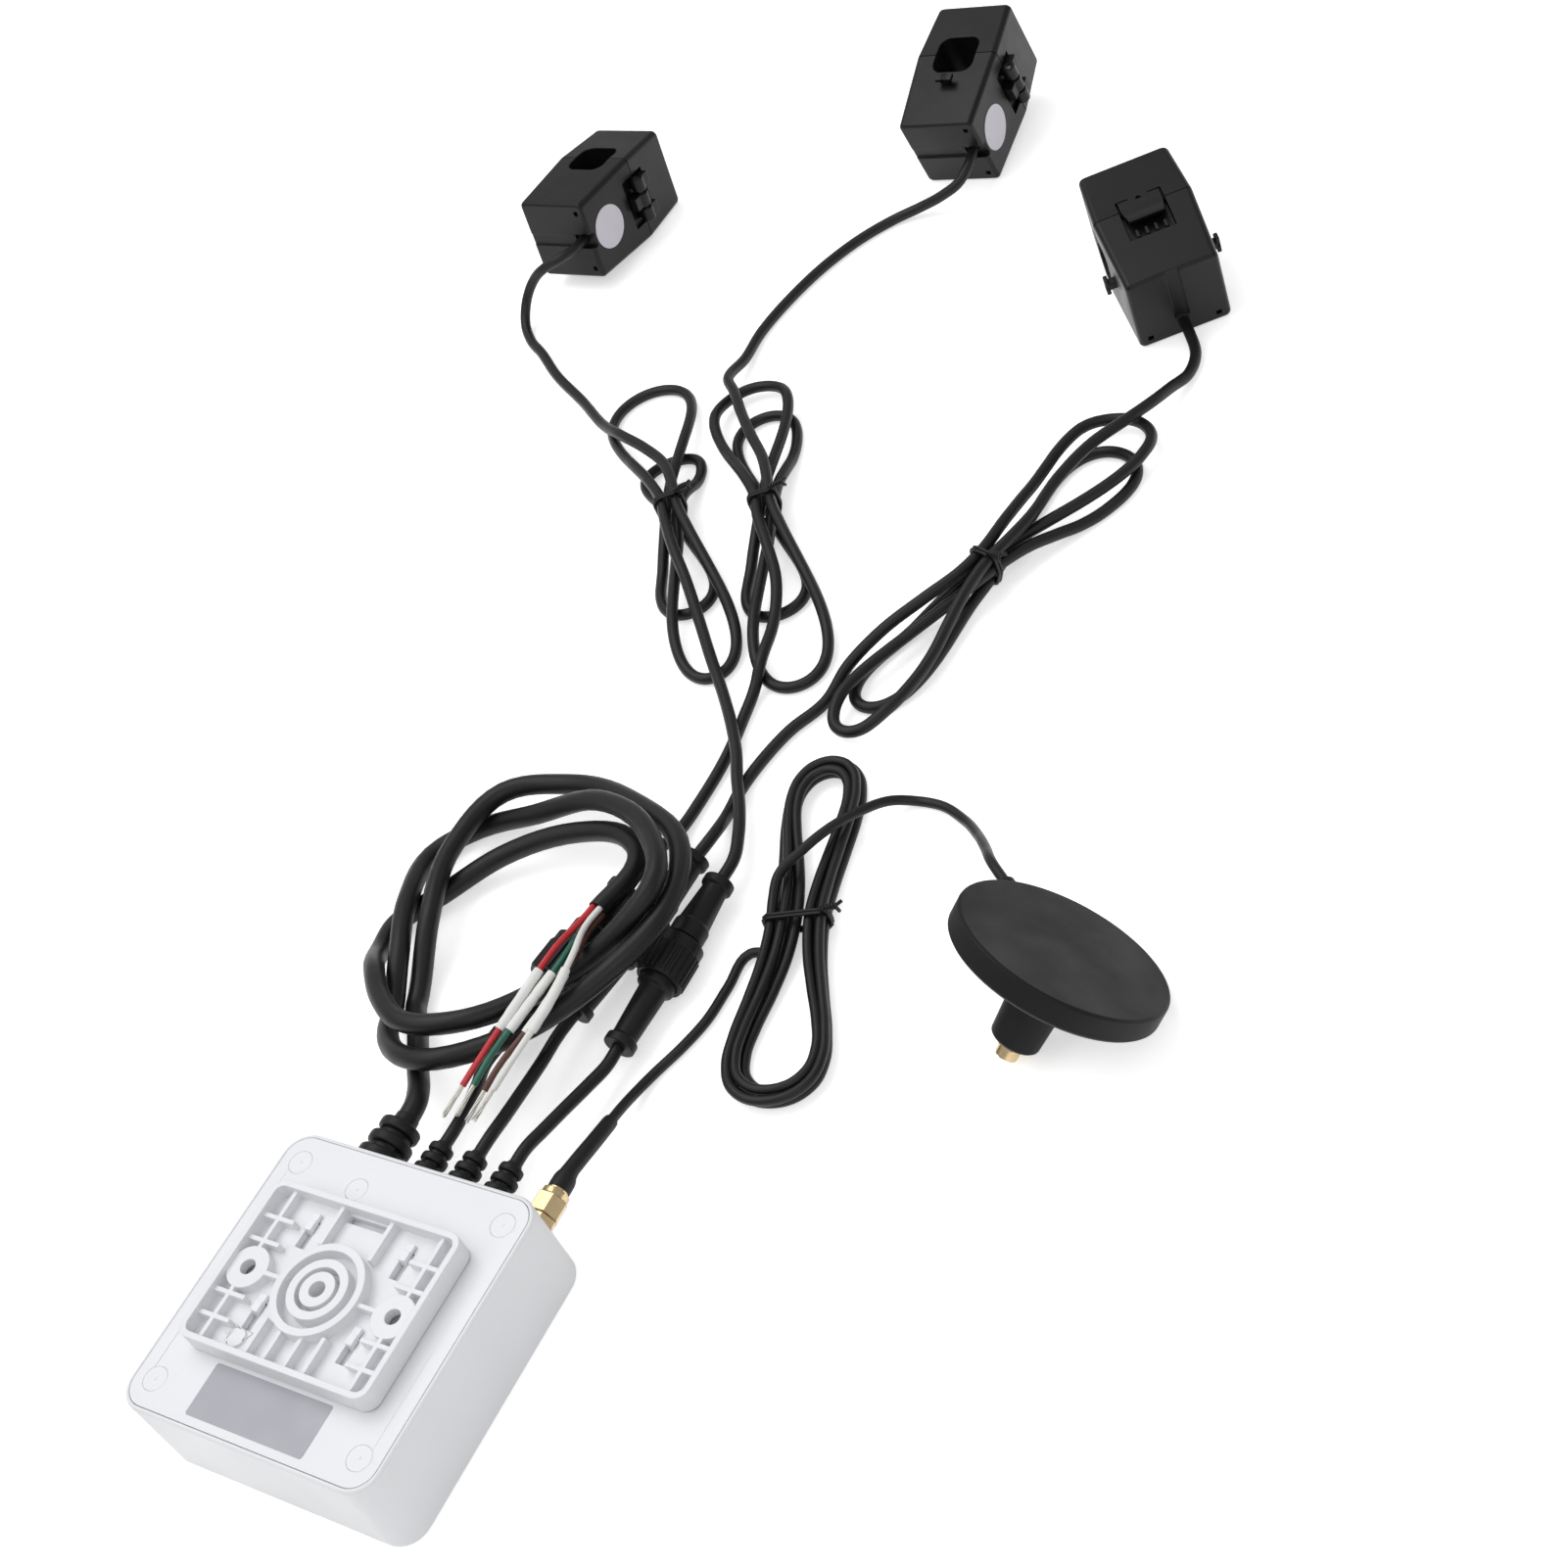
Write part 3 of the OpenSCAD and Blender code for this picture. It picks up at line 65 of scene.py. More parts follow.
# Clamps
CLAMP_BODY, CLAMP_CAP, CLAMP_W, CLAMP_T, BULGE = 31.5, 24.0, 29.5, 31.5, 1.3
CLAMP_AT, CLAMP_YAW = ((-197, 422.5), (-61.7, 488.2), (61, 414)), (0, 4.7, 38.3)
EXIT_X, WING_Y, WING_H, WING_HALF = 9.5, 18.7, 3.3, 1.5
END_CUT, CAP_CUT, SPLIT, CLAMP_HOLE = 1.2, 1.8, 0.1, 16.0
CORE_X, CORE_Z, CORE_HALF = 10.8, 11.1, 1.6
HINGE_X, KNUCKLE_R, PIN_R = CLAMP_W / 2 + BULGE + 1.6, 2.6, 1.15
LUG, LUG_GAP, LUG_OUT, POCKET = 2.7, 0.8, 8.8, 6.4

# Antenna base
DISC_R, DISC_T, DISC_TIP, DISC_EDGE = 30.0, 7.5, 35.0, 1.0
DISC_AT, DISC_HEAD, BOSS_TURN = (141, 152.2), 54.0, 5.0

# Hanks of the clamp leads: each tie's place and heading, and each loop's reach and half width
HANK_TIE = ((-82, 305), (-47, 311), (44, 296))
HANK_HEAD = (127.4, 123.1, 73.3)
LOW_BIG = ((82, 10), (83, 12), (72, 9.5))
UP_SMALL = ((33, 9.5), (55, 10), (62, 12))
LOW_SMALL = ((48, 8.5), (48, 9.5), (60, 8.5))
UP_BIG = ((77, 15), (71, 13.5), (74, 14))
SLOT, STEP, FOOT, LOBE_POINTS = LEAD_D + 0.8, LEAD_D + 0.7, 1.1, 24

# Hank of the antenna lead
COIL4_TIE, COIL4_HEAD = (47, 162), 110.0
COIL4_HALF, COIL4_MID, COIL4_WAIST = 62.5, -4.5, 8.4
COIL4_PITCH, COIL4_POINTS = COAX_D + 0.55, 112

# Mains coil: its lay has x, y and how many strands it lies on
COIL_PITCH, COIL_Z, COIL_RISE, COIL_RISE_FROM = MAINS_D + 0.4, MAINS_D / 2 + 0.2, 0.19, -80
COIL_WAY = ((-57.4, 105.4, -0.45), (-63.9, 126.7, 0.95), (-73.7, 154.4, 1.08), (-69, 176.7, 0.92),
            (-49.7, 185.1, 0.15), (-17, 179, 0), (11.2, 162, 0), (19, 140.7, 0), (11.4, 116.2, 0),
            (-6.2, 93.4, 0.1), (-28.4, 77.8, 1), (-40.3, 79.1, 0.9), (-52.2, 86.6, 0.5),
            (-59, 96.3, 0.15), (-65.5, 111.6, 0.95), (-77, 132, 1.1), (-84.2, 156.8, 0.15),
            (-79, 164, 0.05), (-53.8, 172, 0.25), (-26.3, 174.3, 1.05), (0.9, 163.2, 1.05),
            (15, 143.6, 1), (10.4, 132.4, 0.5), (4.2, 125.2, 0.05), (-7.9, 109.6, 0),
            (-22.3, 91.8, 1.1), (-42.4, 86.9, 1.7), (-54.2, 92.6, 1.8), (-66, 102.6, 1.68),
            (-79.4, 116.8, 0.4), (-82, 126.3, 0.12), (-72.1, 140.4, 0), (-58.2, 156.2, 0),
            (-33.7, 167, 0), (-12, 165.8, 0), (-4.6, 160.8, 0), (-1.2, 155, 0.1),
            (-2.6, 136.7, 0.45))

# Stripped wires: their spots in the jacket, their ways, bare strands and marker sleeves
WIRE_SPOTS = ((-1.25, 1.25), (1.25, 1.25), (-1.25, -1.25), (1.25, -1.25))
WIRE_WAYS = (((-4, 118.5, 26), (-5.2, 101, 25.4), (-8.5, 80.7, 22.2), (-10.2, 73, 20.1)),
             ((4, 116, 27.2), (5.2, 100, 26.2), (1.9, 80.7, 22.6), (0.3, 74, 20.7)),
             ((-0.6, 117, 24.6), (-2.4, 100.5, 24.2), (-6.2, 81.2, 21.6), (-6.8, 74, 20.2)),
             ((2.8, 118, 24.8), (2.8, 99, 24), (-1.9, 79.9, 21.4), (-2.9, 73.5, 19.8)))
STRANDS, STRAND_POINTS, STRAND_R, STRAND_L = 6, 12, 0.21, 10.4
MARKER_FROM, MARKER_TO = 31, 51

# Twisted tails of the wire ties: points, points in the twist, turns and length
TAIL_POINTS, TAIL_TWIST, TAIL_TURNS, TAIL_L = 32, 26, 2.5, 7.5

# Lays of the clamp leads: from the clamp, onto the hank, off the hank, to the connector, and the
# length that runs straight into it. Points on and off the hank are along and across from its tie,
# and up from the table
LEAD_WAYS = (
    (((-190, 410.5, 23.5), (-196, 407.5, 21.5), (-203, 406, 16.5), (-207.5, 402, 9.5),
      (-207, 396, 4), (-201, 389, 2), (-191, 382, 2), (-177, 371, 2), (-157, 358.5, 2.2)),
     ((62, -19, 6), (48, -13, 10), (34, -5, 11), (20, 1, 11.6)),
     ((-22, -1.5, 11.6), (-40, 0.5, 9.4), (-60, 2, 7.2), (-80, 3.5, 7)),
     ((-20, 232, 6.4), (-9, 219, 6.6), (-2, 209.5, 6.6), (3, 201, 6.6), (9.5, 191, 6.4),
      (15, 181, 6.8)), 8),
    (((-54, 477, 10.5), (-60, 473.5, 7.5), (-69, 471, 4), (-78, 466, 2.2), (-86, 456, 2),
      (-93, 442, 2), (-99, 421, 2), (-101.5, 401, 2), (-99, 385, 3.5)),
     ((76, -9, 7.6), (66, -7, 9), (52, -5, 9.6), (36, -2, 10.6), (20, 1.5, 11.6)),
     ((-22, -0.5, 11.6), (-40, 1, 9.4), (-58, -2, 7.4), (-74, -7.5, 7.2)),
     ((-12.5, 239, 4), (-11, 226, 2), (-8.5, 210, 2), (-8, 195, 2), (-8, 180, 3)), 10),
    (((68.5, 403, 2.6), (70, 393, 2.6), (68.5, 384, 5)),
     ((80, 0, 8.4), (70, -1, 9.6), (56, -4, 10), (38, -3, 10.6), (20, 1.5, 11.6)),
     ((-22, -6, 11.2), (-36, -12, 8), (-50, -16, 3.5)),
     ((13, 238, 2), (7, 225, 2), (4, 212, 2), (3, 200, 2), (4, 191, 2.4)), 9))
PIG_WAYS = ((((16.4, 71, 12.8), (17, 80, 10.6), (17.9, 89, 8.6)), 6),
            (((-11.6, 70.5, 12), (-15, 79, 9.4)), 7),
            (((2.3, 71, 12.9), (0.8, 81, 10.6), (-0.5, 92, 8.6)), 7))

# Camera and photo, in pixels of the photo and metres
PHOTO_PX, FOCAL_PX, SENSOR_MM = 1601, 2623, 36.0
EYE_AT, EYE_RIGHT, EYE_UP = ((0.4296, -0.1716, 0.5209), (0.8274, 0.4546, -0.3297),
                             (-0.1464, 0.7414, 0.6549))
# Lamps: name, place, size and power
LAMPS = (("key_lamp", (-0.6, 0.5, 1.4), 1.2, 9.0), ("front_lamp", (-0.7, -0.5, 1.35), 1.2, 5.5),
         ("fill_lamp", (0.9, -0.5, 1.2), 1.0, 4.0))
LAMP_AIM, SKY_POWER, FLOOR_HALF = (-0.02, 0.2, 0), 0.52, 20.0
# Clouds in the paper of the floor, in millimetres
PAPER_CLOUD = 2.5


# Small tools for places
def linear(hex_colour):
    """Linear colour of an sRGB hex value."""
    parts = [int(hex_colour[i:i + 2], 16) / 255 for i in (0, 2, 4)]
    return (*(c / 12.92 if c <= 0.04045 else ((c + 0.055) / 1.055) ** 2.4 for c in parts), 1.0)


def smooth(t):
    """Share from 0 to 1 that starts and stops gently."""
    c = min(1.0, max(0.0, t))
    return c * c * (3 - 2 * c)


def mix(a, b, t):
    return a + (b - a) * t


def turn(axis, angle):
    return Matrix.Rotation(radians(angle), 4, axis)


def vectors(*points):
    return [Vector(p) for p in points]


def outlet(x):
    """Frame of an outlet, its z axis pointing out of the wall."""
    return Matrix.Translation((x, OUTLET_Y, OUTLET_Z)) @ turn("X", -90)


def clamp_frames():
    """Frames of the three clamps, tilted on the two edges that touch the table."""
    foot = CLAMP_T / 2 + BULGE * WING_Y / CLAMP_BODY + WING_H
    along, across = CLAMP_BODY - END_CUT, HINGE_X - CLAMP_W / 2
    cap_edge = CLAMP_BODY + CLAMP_CAP - CAP_CUT
    tilts = (-atan((foot - CLAMP_T / 2) / (cap_edge - WING_Y - WING_HALF)),
             atan((foot - CLAMP_T / 2) / (WING_Y - WING_HALF - END_CUT)),
             atan(across / along) + asin(KNUCKLE_R / hypot(along, across)))
    lifts = (foot * cos(tilts[0]) - (WING_Y + WING_HALF) * sin(tilts[0]),
             CLAMP_T / 2 * cos(tilts[1]) - END_CUT * sin(tilts[1]),
             CLAMP_W / 2 * cos(tilts[2]) - END_CUT * sin(tilts[2]))
    return [Matrix.Translation((*CLAMP_AT[k], lifts[k])) @ turn("Z", CLAMP_YAW[k])
            @ turn("X", degrees(tilts[k])) @ turn("Y", 90 if k == 2 else 0) for k in range(3)]


def connector(k):
    """Frame of a screw connector, its z axis towards the clamp's lead."""
    return Matrix.Translation((*CONN_AT[k], NUT_R)) @ turn("Z", CONN_YAW[k]) @ turn("X", -90)


def disc_frame():
    """Frame of the antenna base, its face at z 0, leaning on its rim and its socket."""
    lean = atan((DISC_TIP - DISC_T) / (DISC_R - DISC_EDGE - SMA_R))
    up = (DISC_R - DISC_EDGE) * sin(lean) + DISC_T * cos(lean)
    place = Matrix.Translation((*DISC_AT, up))
    return place @ turn("Z", DISC_HEAD) @ turn("Y", degrees(lean))


CLAMPS = clamp_frames()
DISC = disc_frame()
SLEEVE = vectors((SMA_X, OUTLET_Y + 13.5, OUTLET_Z), (SMA_X, OUTLET_Y + 18, OUTLET_Z),
                 (SMA_X - 0.6, OUTLET_Y + 27, OUTLET_Z - 2.6),
                 (SMA_X - 2.4, OUTLET_Y + 37.5, OUTLET_Z - 6.8))


# Routes of the cords, in millimetres
def in_frame(at, heading, u, v, z):
    """Point along and across a heading from a place on the table."""
    h = radians(heading)
    return Vector((at[0] + u * cos(h) + v * sin(h),
                   at[1] + u * sin(h) - v * cos(h), z))


def in_hank(k, u, v, z):
    return in_frame(HANK_TIE[k], HANK_HEAD[k], u, v, z)


def in_coil4(u, v, z):
    return in_frame(COIL4_TIE, COIL4_HEAD, u, v, z)


def level(k):
    """Height of a strand in a clamp lead's tie."""
    return LEAD_D / 2 + FOOT + k * STEP


def lobe(s, up, big, small, v0, v1, z0, z1):
    """One loop of a clamp lead's hank, out from the tie and back."""
    u = big[0] * max(0.0, sin(pi * s)) ** 0.75
    far = smooth((u - small[0]) / (big[0] - small[0] + 0.01))
    top = LEAD_D / 2
    if small[0]:
        top += STEP * (1 - far * min(1, (big[0] - small[0]) / 30))
    return (up * u, mix(v0, v1, smooth(s)) + big[1] * sin(2 * pi * s),
            mix(z0 if s < 0.5 else z1, top, smooth(min(s, 1 - s) / 0.16)))


def hank(k):
    """Two figure-of-eight loops of a clamp lead, the small pair under the big pair."""
    g, none = SLOT / 2, (0, 0)
    loops = ((-1, LOW_BIG[k], LOW_SMALL[k], g, g, level(2), level(1)),
             (1, UP_SMALL[k], none, g, 0, level(1), level(0)),
             (-1, LOW_SMALL[k], none, 0, -g, level(0), level(1)),
             (1, UP_BIG[k], UP_SMALL[k], -g, -g, level(1), level(2)))
    points = [lobe(i / LOBE_POINTS, *loop) for loop in loops for i in range(LOBE_POINTS)]
    return [in_hank(k, *p) for p in points + [lobe(1.0, *loops[-1])]]


def coil4(t):
    """Antenna lead's hank: two loops inward, then two outward on top."""
    a = radians(270 + 1440 * t)
    o = -COIL4_PITCH * 2 * (1 - abs(1 - 2 * t))
    wide = 17 if cos(a) > 0 else 24
    u = (COIL4_HALF + o) * cos(a) + COIL4_MID
    v = (COIL4_WAIST + o + wide * cos(a) ** 2) * sin(a)
    lift = FOOT * (1 - smooth(abs(u - COIL4_MID) / 22))
    return in_coil4(u, v, COAX_D / 2 + lift + COIL4_PITCH * smooth((t - 0.5) / 0.125 + 0.5))


def coil():
    """Mains coil: loops laid over each other, rising towards the connectors they lie on."""
    return [Vector((x, y, COIL_Z + COIL_RISE * max(0, x - COIL_RISE_FROM) + COIL_PITCH * on))
            for x, y, on in COIL_WAY]


def lead_route(k):
    """A clamp's lead from the clamp through its hank to the connector."""
    out, onto, off, back, stop = LEAD_WAYS[k]
    g = SLOT / 2
    over = [in_hank(k, *p) for p in (*onto, (9, g, level(2)))]
    under = [in_hank(k, *p) for p in ((-8, -g, level(2)), *off)]
    return ([CLAMPS[k] @ Vector((EXIT_X, y, 0)) for y in (3, 0, -6)] + vectors(*out) + over
            + hank(k) + under + vectors(*back)
            + [connector(k) @ Vector((0, 0, CONN_L / 2 + h)) for h in (stop, 0, -3)])


def pigtail_route(k):
    """A short lead from its strain relief to its connector."""
    x, y = PIG_X[k], OUTLET_Y + SMALL_GLAND_L
    way, stop = PIG_WAYS[k]
    return (vectors((x, y - 3, OUTLET_Z), (x, y, OUTLET_Z), (x, y + 4, OUTLET_Z), *way)
            + [connector(k) @ Vector((0, 0, -CONN_L / 2 - h)) for h in (stop, 0, -3)])


def mains_route():
    """The mains lead from its strain relief into its coil."""
    y = OUTLET_Y + GLAND_L
    start = vectors((POWER_X, y - 4, OUTLET_Z), (POWER_X, y, OUTLET_Z),
                    (POWER_X - 0.5, y + 3.6, OUTLET_Z - 0.2), (POWER_X - 3.8, 71.4, 13.4),
                    (POWER_X - 9.6, 78, 11.6), (-42, 87, 9.8), (-49, 94.6, 7))
    laid = coil()
    return start + [laid[0] - 5 * Vector((-0.42, 0.91, 0)).normalized()] + laid


def coax_route():
    """The antenna lead from its sleeve through its hank to the base."""
    ahead = (SLEEVE[3] - SLEEVE[2]).normalized()
    start = [SLEEVE[3] - 5 * ahead, SLEEVE[3], SLEEVE[3] + 5.6 * ahead]
    start += vectors((29, 92, 3.6), (30, 101, 1.7), (33.5, 111, 1.6), (36, 121, 1.6),
                     (36.5, 133, 1.6), (37.5, 145, 2))
    start += [in_coil4(COIL4_MID - 8, -COIL4_WAIST, COAX_D / 2 + 0.9)]
    loops = [coil4(i / COIL4_POINTS) for i in range(COIL4_POINTS + 1)]
    out = [in_coil4(*p) for p in ((2, -COIL4_WAIST - 0.2, 6.8), (9, -7.2, 9.2), (16, -1, 10.4),
                                  (24, 7, 10.4), (31, 15, 8.4), (37, 22, 4.4))]
    out += vectors((61, 207.5, 1.8), (69, 207.5, 1.6), (79, 203, 3), (89, 195, 8), (98, 186, 15))
    a = radians(BOSS_TURN)
    end = [DISC @ Vector(((DISC_R + h) * sin(a), (DISC_R + h) * cos(a), -DISC_T / 2))
           for h in (13, 4, 1)]
    return start + loops + out + end


def wire_route(i):
    """A wire of the mains lead from inside its jacket to where its insulation is stripped."""
    before, last = coil()[-2:]
    way = (last - before).normalized()
    side = Vector((WIRE_SPOTS[i][0], 0, WIRE_SPOTS[i][1]))
    return [last + h * way + side for h in (-4, 0, 5)] + vectors(*WIRE_WAYS[i])


# Small tools for meshes and curves
def path(points, step):
    """Close points along the smooth line through the given ones."""
    out = []
    for i in range(len(points) - 1):
        a, b = points[max(i - 1, 0)], points[i]
        c, d = points[i + 1], points[min(i + 2, len(points) - 1)]
        count = max(1, ceil((c - b).length / step))
        for j in range(count):
            t = j / count
            out.append(0.5 * (2 * b + (c - a) * t + (2 * a - 5 * b + 4 * c - d) * t * t
                              + (3 * b - a - 3 * c + d) * t * t * t))
    return out + [points[-1]]


def length_of(points):
    """Length of a line of points, in metres."""
    return sum((b - a).length for a, b in zip(points, points[1:])) * MM


def settle(thing, **values):
    """Sets several values of a thing."""
    for key, value in values.items():
        setattr(thing, key, value)
    return thing


def mesh_of(name, work):
    """A mesh of the worked one, which is then let go."""
    mesh = bpy.data.meshes.new(name)
    work.to_mesh(mesh)
    work.free()
    return mesh


def place_piece(obj, coat, body, stands_for=()):
    """Gives a new piece its finish and its body, and hides the nodes it stands for."""
    obj.data.materials.append(finish(coat))
    bpy.context.scene.collection.objects.link(obj)
    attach(obj, body)
    if stands_for:
        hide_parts(*stands_for)
    return obj


def cord_curve(name, points, diameter, coat, stands_for=()):
    """A round cord on one open line through the points, with handles that follow their spacing."""
    data = settle(bpy.data.curves.new(name, "CURVE"), dimensions="3D", bevel_depth=diameter / 2,
                  bevel_resolution=5, resolution_u=6, use_fill_caps=True)
    line = data.splines.new("BEZIER")
    line.bezier_points.add(len(points) - 1)
    for i, p in enumerate(points):
        back = p - points[i - 1] if i else points[1] - p
        ahead = points[i + 1] - p if i + 1 < len(points) else back
        b, a = back.length, ahead.length
        way = (back / b * a + ahead / a * b).normalized()
        knot = line.bezier_points[i]
        knot.handle_left_type = knot.handle_right_type = "FREE"
        settle(knot, co=p * MM, handle_left=(p - way * b / 3) * MM,
               handle_right=(p + way * a / 3) * MM)
    return place_piece(bpy.data.objects.new(name, data), coat, "monitor", stands_for)


def eased(profile, r, steps=3):
    """The profile with each inner corner rounded."""
    out = [Vector(profile[0])]
    for a, b, c in zip(profile, profile[1:], profile[2:]):
        a, b, c = Vector(a), Vector(b), Vector(c)
        near = min(r, (b - a).length * 0.45, (c - b).length * 0.45)
        p, q = b + (a - b).normalized() * near, b + (c - b).normalized() * near
        for j in range(steps + 1):
            t = j / steps
            out.append(p * (1 - t) ** 2 + b * 2 * t * (1 - t) + q * t * t)
    return out + [Vector(profile[-1])]


def circle(sides):
    return [(cos(2 * pi * i / sides), sin(2 * pi * i / sides))
            for i in range(sides)]


def skin(work, rings):
    """Closes rings of corners to a solid."""
    for low, high in zip(rings, rings[1:]):
        for i in range(len(low)):
            j = (i + 1) % len(low)
            work.faces.new((low[i], low[j], high[j], high[i]))
    work.faces.new(rings[0][::-1])
    work.faces.new(rings[-1])


def turned(work, profile, place, sides=48):
    """Adds a turned solid: radius and height pairs about the z axis of its frame."""
    rings = []
    for radius, height in profile:
        spots = circle(sides) if radius > 1e-6 else [(1, 0)]
        rings.append([work.verts.new(place @ Vector((radius * x, radius * y, height)) * MM)
                      for x, y in spots])
    for low, high in zip(rings, rings[1:]):
        for i in range(sides):
            j = i + 1
            face = [low[i % len(low)], low[j % len(low)], high[j % len(high)], high[i % len(high)]]
            face = [v for n, v in enumerate(face) if v not in face[:n]]
            if len(face) > 2:
                work.faces.new(face)


def block(work, low, high, place):
    """Adds a box between two corners of its frame."""
    made = bmesh.ops.create_cube(work, size=1)
    low, high = Vector(low), Vector(high)
    for v in made["verts"]:
        v.co = place @ Vector([mix(low[i], high[i], v.co[i] + 0.5) for i in range(3)]) * MM


def lofted(work, sections, place, steps=5):
    """Adds a solid through rounded oblongs: half width, half depth, corner radius, place on y."""
    rings = []
    for half_x, half_z, r, y in sections:
        ring = []
        for sx, sz, first in ((1, 1, 0), (-1, 1, 90), (-1, -1, 180), (1, -1, 270)):
            for j in range(steps + 1):
                a = radians(first + 90 * j / steps)
                x, z = sx * (half_x - r) + r * cos(a), sz * (half_z - r) + r * sin(a)
                ring.append(work.verts.new(place @ Vector((x, y, z)) * MM))
        rings.append(ring)
    skin(work, rings)


def carved(work, cutter):
    """The worked mesh with the cutter's solids taken out of it."""
    pair = []
    for part in (work, cutter):
        bmesh.ops.recalc_face_normals(part, faces=part.faces)
        pair.append(bpy.data.objects.new("blank", mesh_of("blank", part)))
        bpy.context.scene.collection.objects.link(pair[-1])
    settle(pair[0].modifiers.new("Cut", "BOOLEAN"), object=pair[1], solver="EXACT", use_self=True)
    bpy.context.view_layer.update()
    out = bmesh.new()
    out.from_object(pair[0], bpy.context.evaluated_depsgraph_get())
    for obj in pair:
        mesh = obj.data
        bpy.data.objects.remove(obj)
        bpy.data.meshes.remove(mesh)
    return out


def swept(work, points, profile, sides=16):
    """Adds a tube along points: profile pairs a share of the length with a radius."""
    lengths = [0.0]
    for a, b in zip(points, points[1:]):
        lengths.append(lengths[-1] + (b - a).length)
    across, rings = None, []
    for share, radius in profile:
        at = share * lengths[-1]
        i = max(n for n in range(len(points) - 1) if lengths[n] <= at + 1e-9)
        spot = points[i].lerp(points[i + 1], (at - lengths[i]) / (lengths[i + 1] - lengths[i]))
        way = (points[min(i + 2, len(points) - 1)] - points[max(i - 1, 0)]).normalized()
        across = way.orthogonal() if across is None else across - across.project(way)
        across.normalize()
        other = way.cross(across)
        rings.append([work.verts.new((spot + radius * (across * x + other * y)) * MM)
                      for x, y in circle(sides)])
    skin(work, rings)


def soften(obj, width, angle=38, flats=True):
    """Rounds an object's sharp edges and evens its shading, by modifiers only."""
    add = obj.modifiers.new
    settle(add("Join corners", "WELD"), merge_threshold=1e-5)
    if flats:
        settle(add("Join flats", "DECIMATE"), decimate_type="DISSOLVE", angle_limit=radians(0.6))
    settle(add("Moulded edge", "BEVEL"), width=width * MM, segments=2, limit_method="ANGLE",
           angle_limit=radians(angle), use_clamp_overlap=False)
    settle(add("Even shading", "WEIGHTED_NORMAL"), keep_sharp=False)
    return obj


def solid(name, work, coat, stands_for=(), edge=0.0, angle=38, body="monitor"):
    """Makes a piece of the worked mesh."""
    bmesh.ops.recalc_face_normals(work, faces=work.faces)
    mesh = mesh_of(name, work)
    mesh.shade_smooth()
    mesh.set_sharp_from_angle(angle=radians(angle))
    obj = place_piece(bpy.data.objects.new(name, mesh), coat, body, stands_for)
    return soften(obj, edge, angle) if edge else obj


def dress(names, coat, edge=0.0, angle=38, flats=True):
    """Gives nodes that stay as they are their finish and softly moulded edges."""
    for name in [names] if isinstance(names, str) else names:
        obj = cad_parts[name]
        obj.data.materials.clear()
        obj.data.materials.append(finish(coat))
        if edge:
            soften(obj, edge, angle, flats)


# Materials
def put(tree, kind, sets=None, links=None):
    """Adds a node, or takes the one of that name, gives it settings and links sockets into it."""
    node = tree.nodes.get(kind) or tree.nodes.new(kind)
    for key, value in (sets or {}).items():
        if isinstance(key, str) and hasattr(node, key):
            setattr(node, key, value)
        else:
            node.inputs[key].default_value = value
    for key, socket in (links or {}).items():
        tree.links.new(socket, node.inputs[key])
    return node


def begin(name):
    """A new material, its tree and the place of each point in metres."""
    made = bpy.data.materials.new(name)
    made.use_nodes = True
    tree = made.node_tree
    return made, tree, put(tree, "ShaderNodeTexCoord").outputs["Object"]


def moulded(name, colour, shade, mottle, grain, relief, rough, ior, sheen=0.5, clear=0.0):
    """Moulded or drawn plastic: cloudy colour, fine grain and a gloss that follows the clouds."""
    made, tree, spot = begin(name)
    cloud = put(tree, "ShaderNodeTexNoise", {"Scale": 1000 / mottle, "Detail": 3.0},
                {"Vector": spot}).outputs["Fac"]
    tint = put(tree, "ShaderNodeMix", {"data_type": "RGBA", 6: colour, 7: shade}, {0: cloud})
    gloss = put(tree, "ShaderNodeMapRange",
                {"From Min": 0.3, "From Max": 0.7, "To Min": rough[0], "To Max": rough[1]},
                {"Value": cloud})
    fine = put(tree, "ShaderNodeTexNoise", {"Scale": 1000 / grain, "Detail": 2.0}, {"Vector": spot})
    bump = put(tree, "ShaderNodeBump", {"Strength": 0.35, "Distance": relief * MM},
               {"Height": fine.outputs["Fac"]})
    put(tree, "Principled BSDF",
        {"IOR": ior, "Specular IOR Level": sheen, "Transmission Weight": clear},
        {"Base Color": tint.outputs[2], "Roughness": gloss.outputs["Result"],
         "Normal": bump.outputs["Normal"]})
    return made


def metal(name, colour, shade, cloud_mm, rough, lay=(1, 1, 1)):
    """Plated or drawn metal: tone and gloss wander along the way it was worked."""
    made, tree, spot = begin(name)
    along = put(tree, "ShaderNodeMapping", {"Scale": tuple(1000 / cloud_mm * s for s in lay)},
                {"Vector": spot})
    cloud = put(tree, "ShaderNodeTexNoise", {"Scale": 1.0, "Detail": 4.0},
                {"Vector": along.outputs["Vector"]}).outputs["Fac"]
    tint = put(tree, "ShaderNodeMix", {"data_type": "RGBA", 6: colour, 7: shade}, {0: cloud})
    gloss = put(tree, "ShaderNodeMapRange", {"To Min": rough[0], "To Max": rough[1]},
                {"Value": cloud})
    bump = put(tree, "ShaderNodeBump", {"Strength": 0.15, "Distance": 0.02 * MM},
               {"Height": cloud})
    put(tree, "Principled BSDF", {"Metallic": 1.0},
        {"Base Color": tint.outputs[2], "Roughness": gloss.outputs["Result"],
         "Normal": bump.outputs["Normal"]})
    return made


